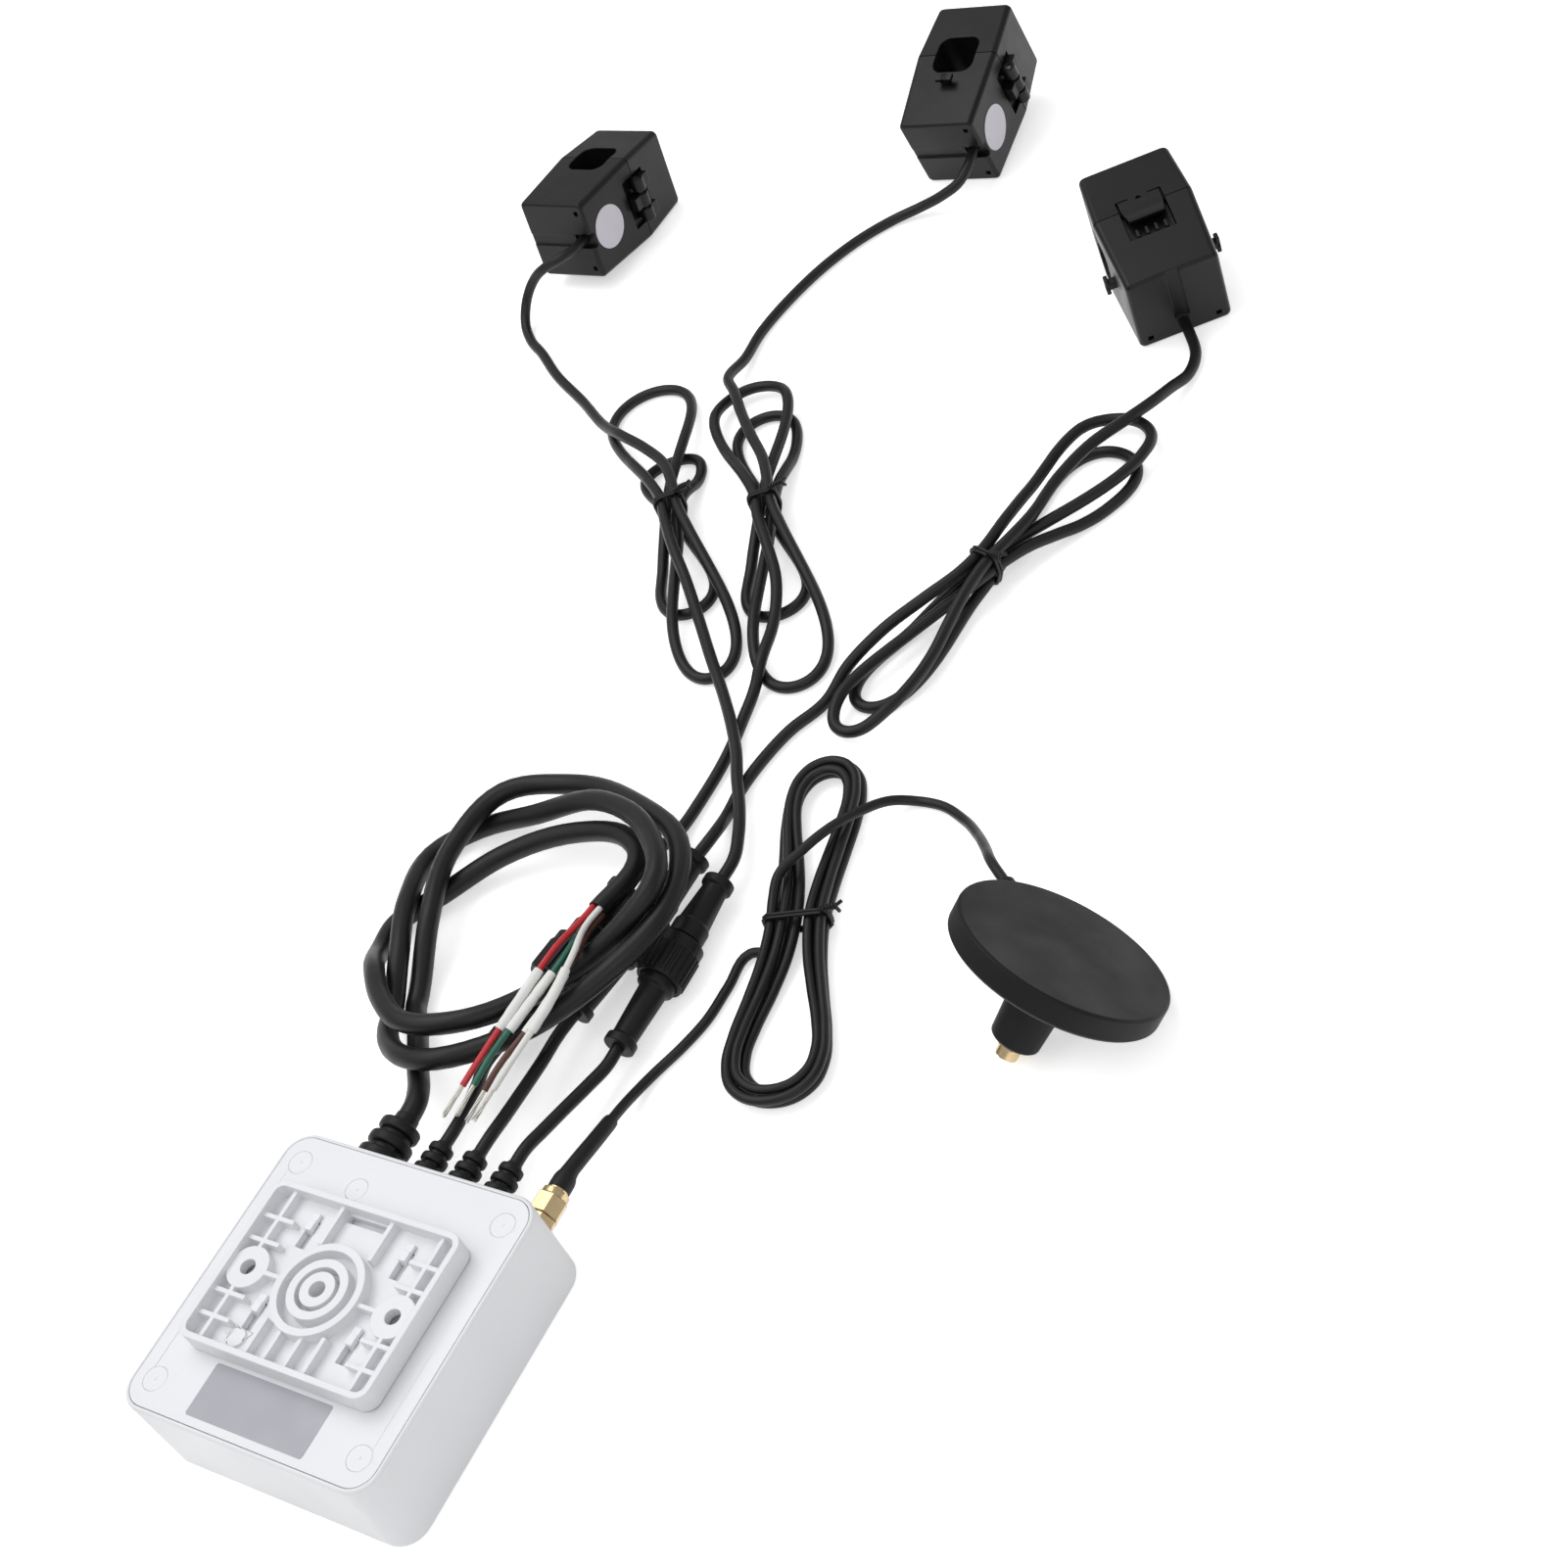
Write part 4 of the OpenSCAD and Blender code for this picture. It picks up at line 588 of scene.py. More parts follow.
def wound(name, colour, painted_line_shade, pitch, direction):
    """Enamelled wire or wrapped tape: bands one turn wide, with painted shade as dark lines between
    them.
    """
    made, tree, spot = begin(name)
    bands = put(tree, "ShaderNodeTexWave",
                {"bands_direction": direction, "Scale": 1000 / pitch / 20 * pi, "Distortion": 0.3},
                {"Vector": spot}).outputs["Fac"]
    # Painted shade: the second colour darkens the lines between the turns, where shade falls
    tint = put(tree, "ShaderNodeMix", {"data_type": "RGBA", 6: painted_line_shade, 7: colour}, {0: bands})
    bump = put(tree, "ShaderNodeBump", {"Strength": 0.6, "Distance": pitch / 3 * MM},
               {"Height": bands})
    put(tree, "Principled BSDF", {"Roughness": 0.35},
        {"Base Color": tint.outputs[2], "Normal": bump.outputs["Normal"]})
    return made


def sizes():
    return bpy.context.scene.monitor_sizes


# Each finish has its maker, colour and shade, and then, with sizes in millimetres,
# moulded: clouds, grain, relief, least and most roughness, IOR, and where set sheen and clearness
# metal: clouds, least and most roughness, and where set how close the clouds are along each axis
# wound: one turn's width and the axis it advances on, its shade painted shade between turns
# Real grains are finer, and are drawn as coarse as they need to be to show.
# Where the colour is one of the panel's, the shade has a factor for each of its channels
FINISHES = {
    # White ABS from a spark-eroded mould: soft sheen, fine even grain, faint clouds in the white
    "white_abs": (moulded, "housing", (0.95, 0.95, 0.95), 22, 0.45, 0.03, (0.36, 0.46), 1.54),
    # The same ABS from a smoother mould half: a little glossier and cooler than the shell
    "white_abs_cover": (moulded, "housing", (0.96, 0.965, 0.975), 30, 0.6, 0.02, (0.3, 0.4), 1.54),
    # Grey ABS of the push button in the front face: even, with a fine grain
    "grey_abs": (moulded, "A9ABAF", "9A9CA1", 5, 0.4, 0.03, (0.4, 0.5), 1.54),
    # Silver-grey polyester label: an even dull film, a little cool, with its face's faint weave
    "silver_label_film": (moulded, "A9AAB1", "A1A2AA", 9, 0.35, 0.012, (0.34, 0.44), 1.57),
    # Clear polycarbonate rod: smooth, with a faint haze
    "clear_polycarbonate": (moulded, "F4F6F8", "E6EAEE", 3, 1.5, 0.01, (0.08, 0.16), 1.58, 0.5,
                            0.9),
    # Green solder mask over glass cloth: glossy, with the weave just showing
    "green_solder_mask": (moulded, "1F5B3C", "174A30", 2.5, 0.6, 0.03, (0.22, 0.32), 1.55),
    # Black sleeves of the capacitors, shrunk PVC film: glossy, slightly blue
    "black_pvc_film": (moulded, "23252B", "2C2F36", 4, 0.5, 0.02, (0.2, 0.3), 1.54),
    # Extruded soft black PVC: satin skin with small waves from the die, a grey sheen along it
    "black_pvc_cord": (moulded, "cord", (1.5, 1.5, 1.5), 9, 1.1, 0.05, (0.38, 0.5), 1.53, 0.3),
    # Moulded black PVC of strain reliefs and connectors: duller than the cords, with a fine grain
    "black_pvc_moulded": (moulded, "cord", (1.6, 1.6, 1.6), 6, 0.5, 0.04, (0.42, 0.55), 1.53, 0.26),
    # Black flame-proof polycarbonate, semi-gloss from a polished mould: clear edges, faint clouds
    "black_polycarbonate": (moulded, "clamp", (1.35, 1.35, 1.35), 14, 0.7, 0.025, (0.32, 0.44),
                            1.58, 0.2),
    # Matt black painted ABS of the antenna base: even fine tooth, a few broad paler clouds
    "black_abs_matt": (moulded, "disc", (1.12, 1.12, 1.12), 16, 0.55, 0.05, (0.5, 0.62), 1.54, 0.2),
    # Red silicone seal ring, unseen inside each nut: soft sheen
    "red_silicone": (moulded, "A3262B", "8E1F24", 3, 0.6, 0.02, (0.4, 0.5), 1.43),
    # Coloured PVC insulation of the wires: smooth thin wall, small gloss streaks
    "red_pvc": (moulded, "C4232C", "B01D26", 5, 0.8, 0.03, (0.32, 0.42), 1.53),
    "white_pvc": (moulded, "E6E6E3", "DADAD6", 5, 0.8, 0.03, (0.32, 0.42), 1.53),
    "green_pvc": (moulded, "1D6A55", "185A48", 5, 0.8, 0.03, (0.32, 0.42), 1.53),
    "brown_pvc": (moulded, "5B3326", "4D2A1F", 5, 0.8, 0.03, (0.32, 0.42), 1.53),
    # White heat-shrunk marker sleeve, printed side left blank: matt, slightly uneven
    "white_polyolefin": (moulded, "E9E9E7", "DDDDDA", 4, 0.6, 0.05, (0.45, 0.58), 1.5),
    # White vinyl sticker left blank: smooth, faintly cool
    "white_vinyl": (moulded, "D2CFD7", "CAC7D0", 4, 0.8, 0.02, (0.3, 0.42), 1.53),
    # Ground ferrite: dark grey with fine sparkling grit
    "ground_ferrite": (moulded, "3A3A3C", "4A4A4D", 0.8, 0.25, 0.02, (0.3, 0.5), 1.9),
    # Gold-plated turned brass: warm pale yellow, tool marks round the axis, bright edges
    "gold_plated_brass": (metal, "gold", (0.88, 0.84, 0.76), 1.2, (0.18, 0.32), (1, 0.2, 1)),
    # Tinned copper strands: bright grey, dull where the tin ran
    "tinned_copper": (metal, "E0DFDC", "BAB4AB", 0.6, (0.22, 0.42), (1, 0.2, 1)),
    # Zinc-plated screws, unseen under the plugs: grey with a faint blue bloom
    "zinc_plated_steel": (metal, "B9BCC0", "9DA1A8", 2, (0.25, 0.4)),
    # Pressed tinplate can over the radio parts: dull silver
    "tinplate": (metal, "C3C5C8", "A5A8AD", 3, (0.2, 0.35)),
    # Drawn steel hinge pin: plain grey, its ends a little bright
    "drawn_steel": (metal, "A8AAAD", "8A8C90", 1.5, (0.25, 0.4)),
    # Yellow polyester tape wrapped round the transformer: one lap every 3 mm, painted shade at each
    # lap's edge
    "yellow_tape": (wound, "C99A2E", "A87C20", 3, "Z"),
    # Enamelled copper winding: ridges in the copper's own colour, painted shade in the grooves
    # between turns, one turn every 0.5 mm
    "enamelled_copper": (wound, "B5622B", "5E2C10", 0.5, "Y"),
}


def finish(name):
    """A finish of the table, made at its first use."""
    if name in bpy.data.materials:
        return bpy.data.materials[name]
    maker, colour, shade, *values = FINISHES[name]
    tint = getattr(bpy.context.scene.monitor_tints, colour, None)
    if tint is None:
        return maker(name, linear(colour), linear(shade), *values)
    return maker(name, tuple(tint), (*(c * f for c, f in zip(tint, shade)), 1.0), *values)


class MonitorSizes(bpy.types.PropertyGroup):
    """Sizes of the cords and small pieces."""

    lead: FloatProperty(name="Clamp lead", description="Diameter of the clamp leads and pigtails",
                        default=LEAD_D * MM, min=0.003, max=0.004, unit="LENGTH", precision=4)
    # Drawn fuller than its solid, so that crossing loops touch
    mains: FloatProperty(name="Mains lead", description="Diameter of the mains lead", unit="LENGTH",
                         default=(MAINS_D + 0.4) * MM, min=0.005, max=0.007, precision=4)
    coax: FloatProperty(name="Antenna lead", description="Diameter of the antenna lead",
                        default=COAX_D * MM, min=0.002, max=0.0031, unit="LENGTH", precision=4)
    wire: FloatProperty(name="Wire", description="Diameter of the wires in the mains lead",
                        default=WIRE_D * MM, min=0.0012, max=0.0021, unit="LENGTH", precision=4)
    tie: FloatProperty(name="Wire tie", description="Thickness of the coated wire ties",
                       default=0.0011, min=0.0006, max=0.0016, unit="LENGTH", precision=4)
    edge: FloatProperty(name="Moulded edge", description="Rounding of the housing's moulded edges",
                        default=0.0003, min=0.0001, max=0.0005, unit="LENGTH", precision=4)


class MonitorTints(bpy.types.PropertyGroup):
    """Colours of the main finishes."""

    housing: FloatVectorProperty(name="Housing", description="White of the housing and bracket",
                                 default=linear("E6E7EA"), size=4, min=0, max=1, subtype="COLOR")
    cord: FloatVectorProperty(name="Cords", description="Black of the cords and connectors",
                              default=linear("0E0E0F"), size=4, min=0, max=1, subtype="COLOR")
    clamp: FloatVectorProperty(name="Clamps", description="Black of the current clamps",
                               default=linear("0C0C0D"), size=4, min=0, max=1, subtype="COLOR")
    disc: FloatVectorProperty(name="Antenna base", description="Black of the antenna base",
                              default=linear("101011"), size=4, min=0, max=1, subtype="COLOR")
    gold: FloatVectorProperty(name="Gold plate", description="Plating of the antenna connectors",
                              default=linear("D6C19A"), size=4, min=0, max=1, subtype="COLOR")


class MONITOR_OT_housing(bpy.types.Operator):
    """Dress the shell, the back cover, its plugs and the blank label"""

    bl_idname = "monitor.housing"
    bl_label = "Housing"

    def execute(self, context):
        edge = sizes().edge / MM
        dress("front_shell", "white_abs", edge * 0.8, flats=False)
        dress("back_cover", "white_abs_cover", edge * 0.5, flats=False)
        work = bmesh.new()
        for x, y, r in PLUGS:
            profile = [(0, -0.8), (r, -0.8), (r, -0.12), (r - 0.08, -0.04), (0.5, -0.04),
                       (0.4, 0.1), (0, 0.12)]
            turned(work, profile, Matrix.Translation((x, y, BODY_H)))
        solid("screw_covers", work, "white_abs_cover", ["screw_plugs"], angle=30)
        dress("cover_screws", "zinc_plated_steel")
        dress("rating_label", "silver_label_film")
        dress("pairing_button", "grey_abs", edge)
        dress("light_pipe", "clear_polycarbonate")
        return {"FINISHED"}


class MONITOR_OT_bracket(bpy.types.Operator):
    """Dress the ribbed wall bracket"""

    bl_idname = "monitor.bracket"
    bl_label = "Wall bracket"

    def execute(self, context):
        dress("wall_bracket", "white_abs", sizes().edge / MM * 0.7, flats=False)
        return {"FINISHED"}


class MONITOR_OT_inner_parts(bpy.types.Operator):
    """Dress the board and its parts inside the housing"""

    bl_idname = "monitor.inner_parts"
    bl_label = "Inner parts"

    def execute(self, context):
        dress("main_board", "green_solder_mask")
        dress("power_transformer", "yellow_tape", 0.4)
        dress("filter_capacitors", "black_pvc_film", 0.4)
        dress("radio_module", "tinplate", 0.2)
        dress("tact_switch", "black_polycarbonate", 0.2)
        return {"FINISHED"}


def strain_relief(name, node, x, core, rings, ease, bridge):
    """Eased rings on a core, each joined to the next by a bridge turned from the last."""
    work = bmesh.new()
    place = outlet(x)
    turned(work, eased(core, 0.3), place)
    for r, low, high in rings:
        turned(work, eased([(0, low), (r, low), (r, high), (0, high)], ease, 5), place)
    for i, ((_, _, low), (r, high, _)) in enumerate(zip(rings, rings[1:])):
        block(work, (ease - r, -bridge, low - 0.3), (r - ease, bridge, high + 0.3),
              place @ turn("Z", 90 * (i % 2) + 45))
    solid(name, work, "black_pvc_moulded", [node], angle=50)


class MONITOR_OT_strain_reliefs(bpy.types.Operator):
    """Build the ribbed strain reliefs in the outlet wall"""

    bl_idname = "monitor.strain_reliefs"
    bl_label = "Strain reliefs"

    def execute(self, context):
        core = [(0, -WALL - 1.7), (7.2, -WALL - 1.7), (7.2, -WALL - 0.1), (5, -WALL - 0.1),
                (5.2, 0.5), (4.7, 12), (4.3, 15.4), (3.5, 16.6), (3.4, GLAND_L), (0, GLAND_L)]
        rings = [(7.8, 0, 1.8), (7, 2.9, 6.2), (6.5, 7.8, 11.1), (6, 12.7, 16)]
        strain_relief("mains_strain_relief", "power_gland", POWER_X, core, rings, 1.1, 1.3)
        core = [(0, -WALL - 1.5), (4.2, -WALL - 1.5), (4.2, -WALL - 0.1), (3, -WALL - 0.1),
                (3, 0.5), (2.7, 2), (2.6, 12), (2.1, SMALL_GLAND_L), (0, SMALL_GLAND_L)]
        rings = [(4.6, 0, 2.4), (4.2, 4, 6.4), (3.9, 7.5, 9.9), (3.5, 11, 13.4)]
        for k, x in enumerate(PIG_X):
            strain_relief(f"lead_strain_relief_{k + 1}", "pigtail_glands", x, core, rings, 0.8, 0.8)
        return {"FINISHED"}


class MONITOR_OT_antenna_plug(bpy.types.Operator):
    """Dress the gold antenna socket and plug and shrink a sleeve on its lead"""

    bl_idname = "monitor.antenna_plug"
    bl_label = "Antenna plug"

    def execute(self, context):
        dress(["sma_jack", "sma_ferrule", "sma_nut", "antenna_socket"], "gold_plated_brass", 0.18,
              25, flats=False)
        work = bmesh.new()
        r = COAX_D / 2 + 0.8
        profile = [(0, 2.95), (0, 3.15), (0.03, 3.22), (0.1, 3.2), (0.14, 3.0), (0.18, r + 0.25),
                   (0.24, r + 0.05), (0.4, r), (0.6, r - 0.04), (0.8, r - 0.08), (0.96, r - 0.12),
                   (1, r - 0.25), (1, COAX_D / 2)]
        swept(work, [SLEEVE[0] - Vector((0, 2.6, 0))] + path(SLEEVE, 1.0), profile, 24)
        solid("shrunk_sleeve", work, "black_pvc_moulded", ["coax_sleeve"], angle=50)
        return {"FINISHED"}


class MONITOR_OT_connectors(bpy.types.Operator):
    """Build the screw connectors' sockets and plugs and dress their coupling nuts"""

    bl_idname = "monitor.connectors"
    bl_label = "Screw connectors"

    def execute(self, context):
        e, m = CONN_L / 2, NUT_L / 2
        socket = [(0, -e), (2.6, -e), (3.4, -e), (FLANGE_R, -e), (FLANGE_R, -e + 2.6),
                  (3.7, -e + 3.2), (4.3, -m - 3), (5.6, -m - 2.2), (5.6, 0), (3.2, 0),
                  (3.2, 4), (0, 4)]
        plug = [(0, 4), (3.4, 4), (3.4, 1.2), (5.4, 1.2), (5.4, 3), (4.4, 3), (4.4, m + 1),
                (5.4, m + 1.2), (5.4, m + 6), (4.8, m + 7), (3.8, e - 3.2), (FLANGE_R, e - 2.6),
                (FLANGE_R, e), (0, e)]
        for k in range(3):
            for name, profile in (("connector_socket", socket), ("connector_plug", plug)):
                work = bmesh.new()
                turned(work, eased(profile, 0.35), connector(k))
                solid(f"{name}_{k + 1}", work, "black_pvc_moulded",
                      [f"{name}s"], angle=45)
            dress(f"connector_nut_{k + 1}", "black_pvc_moulded", 0.22)
        dress("connector_seals", "red_silicone", 0.15)
        return {"FINISHED"}


def bare_end(i, before, tip):
    """Strands of wire i laid round a middle one, spreading towards their uneven tips."""
    work = bmesh.new()
    way = (tip - before).normalized()
    side = way.orthogonal().normalized()
    over = way.cross(side)
    swept(work, [tip - way, tip + 9.6 * way], [(0, 0.22), (0.5, 0.22), (1, 0.2)], 8)
    marks = [(t, STRAND_R) for t in (0, 0.25, 0.5, 0.75)] + [(0.97, 0.2), (1, 0.12)]
    for n in range(STRANDS):
        strand = []
        for j in range(STRAND_POINTS + 1):
            a = 2 * pi * (n / STRANDS + 0.35 * j / STRAND_POINTS)
            loose = 0.1 * (j / STRAND_POINTS) ** 2 * (1 + 0.6 * sin(2.4 * n + i))
            along = -1 + (STRAND_L + 0.6 * sin(1.7 * n + 2 * i)) * j / STRAND_POINTS
            strand.append(tip + way * along
                          + (0.44 + loose) * (side * cos(a) + over * sin(a)))
        swept(work, strand, marks, 8)
    return work


def marker_sleeve(i, line):
    """A sleeve shrunk a little unevenly on wire i."""
    work = bmesh.new()
    total, r = length_of(line) / MM, WIRE_D / 2
    first, last = MARKER_FROM / total, MARKER_TO / total
    marks = [(mix(first, last, j / 10), r + 0.5 + 0.06 * sin(2.1 * j + i))
             for j in range(1, 10)]
    swept(work, line, [(first, r - 0.05), (first, r + 0.42), *marks, (last, r + 0.42),
                       (last, r - 0.05)], 20)
    return work


class MONITOR_OT_mains_lead(bpy.types.Operator):
    """Lay the coiled mains lead with its stripped wires"""

    bl_idname = "monitor.mains_lead"
    bl_label = "Mains lead"

    def execute(self, context):
        points = mains_route()
        lead = cord_curve("mains_lead", points, sizes().mains, "black_pvc_cord",
                          ["power_lead", "power_coil"])
        others = []
        for i, hue in enumerate(("red", "white", "green", "brown")):
            route = wire_route(i)
            others += [cord_curve(f"wire_{hue}", route, sizes().wire, f"{hue}_pvc", ["mains_wires"]),
                       solid(f"bare_end_{hue}", bare_end(i, *route[-2:]), "tinned_copper",
                             angle=50),
                       solid(f"wire_sleeve_{hue}", marker_sleeve(i, path(route, 1.0)),
                             "white_polyolefin", ["wire_sleeves"], angle=50)]
        return {"FINISHED"}


class MONITOR_OT_pigtails(bpy.types.Operator):
    """Lay the three short leads from the housing to their connectors"""

    bl_idname = "monitor.pigtails"
    bl_label = "Pigtails"

    def execute(self, context):
        for k in range(3):
            points = pigtail_route(k)
            lead = cord_curve(f"pigtail_lead_{k + 1}", points, sizes().lead, "black_pvc_cord",
                              [f"pigtail_{k + 1}"])
        return {"FINISHED"}


def tight_loop(spots, reach):
    """Outline of a wire pulled tight round strands of one section."""
    angles = [a * pi / 12 for a in range(24)]
    points = sorted((v + reach * cos(a), z + reach * sin(a))
                    for v, z in spots for a in angles)
    sides = []
    for row in (points, points[::-1]):
        chain = []
        for p in row:
            while len(chain) > 1:
                (v0, z0), (v1, z1) = chain[-2:]
                if (v1 - v0) * (p[1] - z0) - (z1 - z0) * (p[0] - v0) > 0:
                    break
                chain.pop()
            chain.append(p)
        sides += chain[:-1]
    return sides


def wire_tie(name, spots, strand_r, inside, along):
    """Two turns of wire round the strands, its ends twisted together and parted at their tips."""
    r = sizes().tie / MM / 2
    loop = tight_loop(spots, strand_r + r + 0.05)
    top = max(range(len(loop)), key=lambda i: loop[i][1] + 0.4 * loop[i][0])
    loop = loop[top:] + loop[:top]
    work = bmesh.new()
    count = len(loop)
    line = []
    for j in range(2 * count + 1):
        v, z = loop[j % count]
        line.append(inside(along + (j / count - 1) * 2.1 * r, v, max(z, r + 0.05)))
    steps = len(line) - 1
    swept(work, line, [(j / steps, r) for j in range(steps + 1)], 10)
    v, z = loop[0]
    for half in (0, 1):
        tail = []
        for j in range(TAIL_POINTS + 1):
            a = pi * half + 2 * pi * TAIL_TURNS * min(1, j / TAIL_TWIST)
            open_by = r * 1.02 + max(0, j - TAIL_TWIST) * 0.22
            out = 0.2 + TAIL_L * j / TAIL_POINTS
            tail.append(inside(along + open_by * cos(a),
                               v + out * 0.8 + open_by * sin(a) * 0.5,
                               z + out * 0.35 - 0.035 * out * out + open_by * sin(a)))
        swept(work, tail, [(j / TAIL_POINTS, r) for j in range(TAIL_POINTS + 1)], 8)
    solid(name, work, "black_pvc_cord", ["cable_ties"], angle=60)


class MONITOR_OT_wire_ties(bpy.types.Operator):
    """Twist a coated wire tie round the waist of each hank"""

    bl_idname = "monitor.wire_ties"
    bl_label = "Wire ties"

    def execute(self, context):
        g = SLOT / 2
        spots = [(g, level(2)), (g, level(1)), (0, level(0)), (-g, level(1)), (-g, level(2))]
        for k in range(3):
            wire_tie(f"wire_tie_{k + 1}", spots, LEAD_D / 2,
                     lambda u, v, z, k=k: in_hank(k, u, v, z), 0)
        low = COAX_D / 2 + FOOT
        spots = []
        for n in range(9):
            o = -COIL4_PITCH * 2 * (1 - abs(1 - n / 4))
            spots.append(((COIL4_WAIST + o) * (1 if n % 2 else -1),
                          low if n <= 4 else low + COIL4_PITCH))
        wire_tie("wire_tie_4", spots, COAX_D / 2, in_coil4, COIL4_MID)
        return {"FINISHED"}


class MONITOR_OT_clamp_leads(bpy.types.Operator):
    """Lay each clamp's lead, hanked and tied, down to its connector"""

    bl_idname = "monitor.clamp_leads"
    bl_label = "Clamp leads"

    def execute(self, context):
        for k in range(3):
            points = lead_route(k)
            nodes = [f"ct_lead_{k + 1}", f"ct_hank_{k + 1}", f"ct_tail_{k + 1}"]
            lead = cord_curve(f"clamp_lead_{k + 1}", points, sizes().lead, "black_pvc_cord", nodes)
        return {"FINISHED"}


class MONITOR_OT_antenna_lead(bpy.types.Operator):
    """Lay the antenna lead from its sleeve through its hank to the base"""

    bl_idname = "monitor.antenna_lead"
    bl_label = "Antenna lead"

    def execute(self, context):
        points = coax_route()
        lead = cord_curve("antenna_cord", points, sizes().coax, "black_pvc_cord",
                          ["antenna_lead", "antenna_hank", "antenna_tail"])
        return {"FINISHED"}


class MONITOR_OT_antenna_base(bpy.types.Operator):
    """Dress the magnetic antenna base"""

    bl_idname = "monitor.antenna_base"
    bl_label = "Antenna base"

    def execute(self, context):
        dress("antenna_base", "black_abs_matt", 0.3)
        return {"FINISHED"}


def hinge_lug(work, low, high, back, ahead, place):
    """A hinge lug: an eased barrel round the pin on a foot that grows out of the wall."""
    barrel = [(PIN_R, low), (KNUCKLE_R, low), (KNUCKLE_R, high), (PIN_R, high), (PIN_R, low)]
    turned(work, eased(barrel, 0.5), place @ Matrix.Translation((HINGE_X, CLAMP_BODY, 0)), 28)
    block(work, (CLAMP_W / 2 - 1.1, back, low + 0.15), (HINGE_X + 1.2, ahead, high - 0.15), place)


def cable_hole(cutter, place):
    """The rounded opening for a mains cable."""
    half = CLAMP_HOLE / 2
    lofted(cutter, [(half, half, 4.2, -40), (half, half, 4.2, 40)],
           place @ Matrix.Translation((0, CLAMP_BODY, 0)) @ turn("X", 90), 8)


def clamp_lower(k, wings):
    """A clamp's body, with a hook on each of the given sides."""
    place, top = CLAMPS[k], CLAMP_BODY - SPLIT
    w, t = CLAMP_W / 2, CLAMP_T / 2
    work, cutter = bmesh.new(), bmesh.new()
    lofted(work, [(w - 1.3, t - 1.3, 1.1, 0), (w - 0.7, t - 0.7, 1.5, 0.22),
                  (w - 0.28, t - 0.28, 1.8, 0.6), (w, t, 2.0, END_CUT),
                  (w + BULGE, t + BULGE, 2.0, top)], place)
    cable_hole(cutter, place)
    # Core slots, and two dents in the end face
    for side in (-1, 1):
        x, z = side * CORE_X, side * (t - 4)
        block(cutter, (x - CORE_HALF, 13.3, -CORE_Z), (x + CORE_HALF, top + 2, CORE_Z), place)
        block(cutter, (w - 4.4, -1, z - 0.9), (w - 2.6, 2, z + 0.9), place)
    # Latch recess, hinge pocket, and the groove and outlet of the lead in the end face
    for low, high in (((-w - 4, 18.4, -7.8), (1.4 - w, top + 2, 7.8)),
                      ((w - 0.6, CLAMP_BODY - POCKET, -LUG_OUT - 0.9),
                       (w + 5, top + 2, LUG_OUT + 0.9)),
                      ((-w - 1, -1, -2.3), (w - 3.4, 0.9, 2.3)),
                      ((6.6, -1, -2.9), (w + 1, 2.2, 2.9))):
        block(cutter, low, high, place)
    work = carved(work, cutter)
    hinge_lug(work, -LUG, LUG, CLAMP_BODY - 5.8, CLAMP_BODY, place)
    # Teeth in the latch recess
    for z in (-4.8, -1.6, 1.6, 4.8):
        block(work, (-w - 0.9, 18.8, z - 0.6), (1.8 - w, 22.2, z + 0.6), place)
    # Hooks: a stem and a wider head
    face = t + BULGE * WING_Y / CLAMP_BODY
    for side in wings:
        for half, reach in ((1.4, face - 1), (3.2, face + WING_H - 1.4)):
            near, far = sorted((side * reach, side * (face + WING_H)))
            block(work, (-half, WING_Y - WING_HALF, near), (half, WING_Y + WING_HALF, far), place)
    return work


def clamp_upper(k):
    """A clamp's hinged cap with its latch tab."""
    place, low, end = CLAMPS[k], CLAMP_BODY + SPLIT, CLAMP_BODY + CLAMP_CAP
    w, t = CLAMP_W / 2, CLAMP_T / 2
    work, cutter = bmesh.new(), bmesh.new()
    lofted(work, [(w + BULGE, t + BULGE, 2.0, low), (w, t, 2.0, end - CAP_CUT),
                  (w - 0.25, t - 0.25, 2.0, end - 1.05), (w - 0.7, t - 0.7, 1.9, end - 0.5),
                  (w - 1.2, t - 1.2, 1.7, end - 0.15), (w - 1.9, t - 1.9, 1.4, end)], place)
    cable_hole(cutter, place)
    # Core slots, and the slits that part the latch tab from the wall
    slit = CLAMP_BODY + 5.2
    for side in (-1, 1):
        x, z, foot = side * CORE_X, side * 7.5, side * 5.6
        block(cutter, (x - CORE_HALF, low - 2, -CORE_Z), (x + CORE_HALF, CLAMP_BODY + 17, CORE_Z),
              place)
        block(cutter, (-w - 4, low - 2, z - 0.3), (-w, slit, z + 0.3), place)
        block(cutter, (-w - 4, CLAMP_BODY + 4.6, foot - 2.2), (0.2 - w, slit, foot + 2.2), place)
    # Hinge pocket, and the dimple above the tab
    block(cutter, (w - 0.6, low - 2, -LUG_OUT - 0.9),
          (w + 5, CLAMP_BODY + POCKET, LUG_OUT + 0.9), place)
    turned(cutter, [(0, -4), (0.9, -4), (0.9, 4), (0, 4)],
           place @ Matrix.Translation((-w - 3.2, CLAMP_BODY + 4, 0)) @ turn("Y", 90), 20)
    work = carved(work, cutter)
    for side in (-1, 1):
        near, far = sorted((side * (LUG + LUG_GAP), side * LUG_OUT))
        hinge_lug(work, near, far, CLAMP_BODY, CLAMP_BODY + 5.8, place)
    # Latch tab: a tongue of the cap that curls outward over the recess
    rings = []
    for j in range(9):
        y = CLAMP_BODY + mix(3.6, -7, j / 8)
        out = w + BULGE - 0.1 + 1.7 * smooth((CLAMP_BODY + 0.5 - y) / 7.5) ** 1.5
        half = mix(7.1, 6.2, smooth((CLAMP_BODY - y) / 7))
        section = ((out - 1.5, -half), (out, -half), (out, half), (out - 1.5, half))
        rings.append([work.verts.new(place @ Vector((-x, y, z)) * MM) for x, z in section])
    skin(work, rings)
    return work


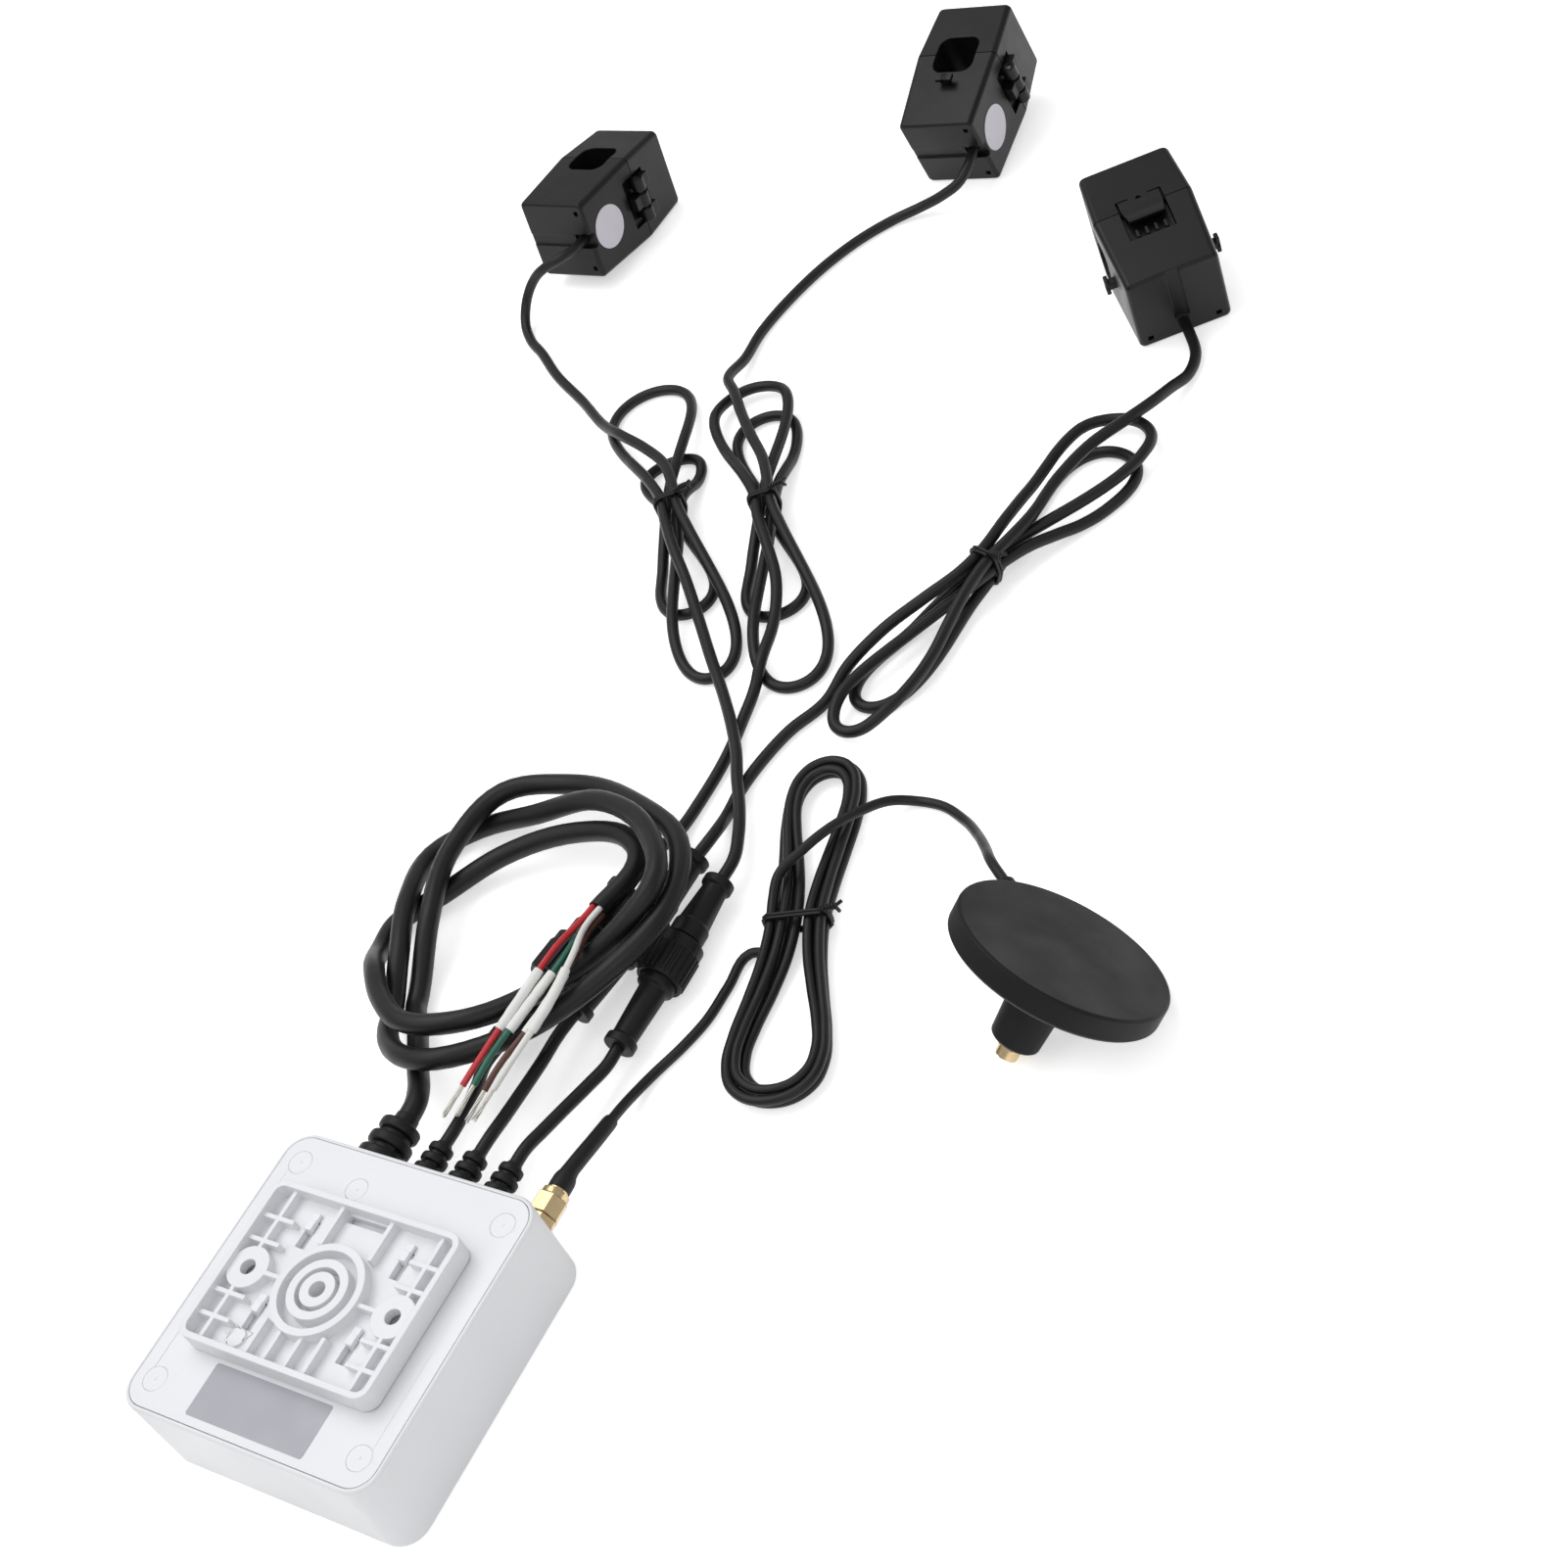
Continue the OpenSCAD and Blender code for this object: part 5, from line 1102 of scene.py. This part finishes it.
class MONITOR_OT_clamps(bpy.types.Operator):
    """Mould the three split-core clamps and dress their cores, windings, pins and blank stickers"""

    bl_idname = "monitor.clamps"
    bl_label = "Current clamps"

    def execute(self, context):
        for k in range(3):
            wings = (-1,) if k == 0 else (-1, 1)
            solid(f"clamp_lower_{k + 1}", clamp_lower(k, wings), "black_polycarbonate",
                  [f"clamp_body_{k + 1}"], 0.28, 40)
            solid(f"clamp_upper_{k + 1}", clamp_upper(k), "black_polycarbonate",
                  [f"clamp_cap_{k + 1}"], 0.28, 40, f"cap_{k + 1}")
        dress([f"upper_core_{k}" for k in (1, 2, 3)] + ["lower_cores"], "ground_ferrite", 0.15)
        dress("clamp_windings", "enamelled_copper")
        dress("hinge_pins", "drawn_steel", 0.1)
        dress("clamp_stickers", "white_vinyl")
        return {"FINISHED"}


def lay_floor(scene):
    work = bmesh.new()
    bmesh.ops.create_grid(work, x_segments=8, y_segments=8, size=FLOOR_HALF)
    floor = bpy.data.objects.new("floor", mesh_of("floor", work))
    floor.location = (0, 0.2, -0.0001)
    # White paper sweep: matt, bright to the eye and still taking shadows
    made, tree, spot = begin("white_paper")
    fibre = put(tree, "ShaderNodeTexNoise", {"Scale": 1000 / PAPER_CLOUD, "Detail": 2.0},
                {"Vector": spot}).outputs["Fac"]
    tone = put(tree, "ShaderNodeMix",
               {"data_type": "RGBA", 6: linear("F6F6F6"), 7: linear("FBFBFB")}, {0: fibre})
    rays = put(tree, "ShaderNodeLightPath")
    seen = rays.outputs["Is Camera Ray"]
    for kind in ("Is Glossy Ray", "Is Transmission Ray"):
        seen = put(tree, "ShaderNodeMath", {"operation": "MAXIMUM"},
                   {0: seen, 1: rays.outputs[kind]}).outputs["Value"]
    glow = put(tree, "ShaderNodeMath", {"operation": "MULTIPLY", 1: 0.5}, {0: seen})
    put(tree, "Principled BSDF", {"Roughness": 0.9, "Emission Color": (1, 1, 1, 1)},
        {"Base Color": tone.outputs[2], "Emission Strength": glow.outputs["Value"]})
    floor.data.materials.append(made)
    scene.collection.objects.link(floor)


def set_lamps(scene):
    world = scene.world or bpy.data.worlds.new("studio")
    scene.world = world
    world.use_nodes = True
    put(world.node_tree, "Background", {"Color": (1, 1, 1, 1), "Strength": SKY_POWER})
    for name, spot, size, power in LAMPS:
        lamp = settle(bpy.data.lights.new(name, "AREA"), size=size, energy=power)
        obj = bpy.data.objects.new(name, lamp)
        obj.location = spot
        way = Vector(spot) - Vector(LAMP_AIM)
        obj.rotation_euler = way.to_track_quat("Z", "Y").to_euler()
        scene.collection.objects.link(obj)


def set_camera(scene):
    eye = settle(bpy.data.cameras.new("camera"), sensor_width=SENSOR_MM, clip_start=0.01,
                 lens=FOCAL_PX / PHOTO_PX * SENSOR_MM)
    camera = bpy.data.objects.new("camera", eye)
    right = Vector(EYE_RIGHT)
    back = right.cross(Vector(EYE_UP)).normalized()
    up = back.cross(right).normalized()
    pose = Matrix((right.normalized(), up, back)).transposed().to_4x4()
    camera.matrix_world = Matrix.Translation(EYE_AT) @ pose
    scene.collection.objects.link(camera)
    scene.camera = camera


class MONITOR_OT_stage(bpy.types.Operator):
    """Set the pale floor, the soft light and the camera"""

    bl_idname = "monitor.stage"
    bl_label = "Stage"

    def execute(self, context):
        context.scene.view_settings.view_transform = "Standard"
        lay_floor(context.scene)
        set_lamps(context.scene)
        set_camera(context.scene)
        return {"FINISHED"}


STEPS = ("stage", "housing", "bracket", "inner_parts", "strain_reliefs", "antenna_plug",
         "connectors", "mains_lead", "pigtails", "wire_ties", "clamp_leads", "antenna_lead",
         "antenna_base", "clamps")


class MONITOR_PT_steps(bpy.types.Panel):
    """Sizes, colours and the steps that dress the monitor"""

    bl_label = "Energy monitor"
    bl_idname = "MONITOR_PT_steps"
    bl_space_type = "VIEW_3D"
    bl_region_type = "UI"
    bl_category = "Energy monitor"

    def draw(self, context):
        for group in (context.scene.monitor_sizes, context.scene.monitor_tints):
            for key in group.__annotations__:
                self.layout.prop(group, key)
        for step in STEPS:
            self.layout.operator(f"monitor.{step}")


CLASSES = (MonitorSizes, MonitorTints, MONITOR_OT_housing, MONITOR_OT_bracket,
           MONITOR_OT_inner_parts, MONITOR_OT_strain_reliefs, MONITOR_OT_antenna_plug,
           MONITOR_OT_connectors, MONITOR_OT_mains_lead, MONITOR_OT_pigtails, MONITOR_OT_wire_ties,
           MONITOR_OT_clamp_leads, MONITOR_OT_antenna_lead, MONITOR_OT_antenna_base,
           MONITOR_OT_clamps, MONITOR_OT_stage, MONITOR_PT_steps)


def register():
    for made in CLASSES:
        bpy.utils.register_class(made)
    bpy.types.Scene.monitor_sizes = PointerProperty(type=MonitorSizes)
    bpy.types.Scene.monitor_tints = PointerProperty(type=MonitorTints)


def unregister():
    del bpy.types.Scene.monitor_tints
    del bpy.types.Scene.monitor_sizes
    for made in reversed(CLASSES):
        bpy.utils.unregister_class(made)


def main():
    register()
    for step in STEPS:
        getattr(bpy.ops.monitor, step)()


if __name__ == "__main__":
    main()
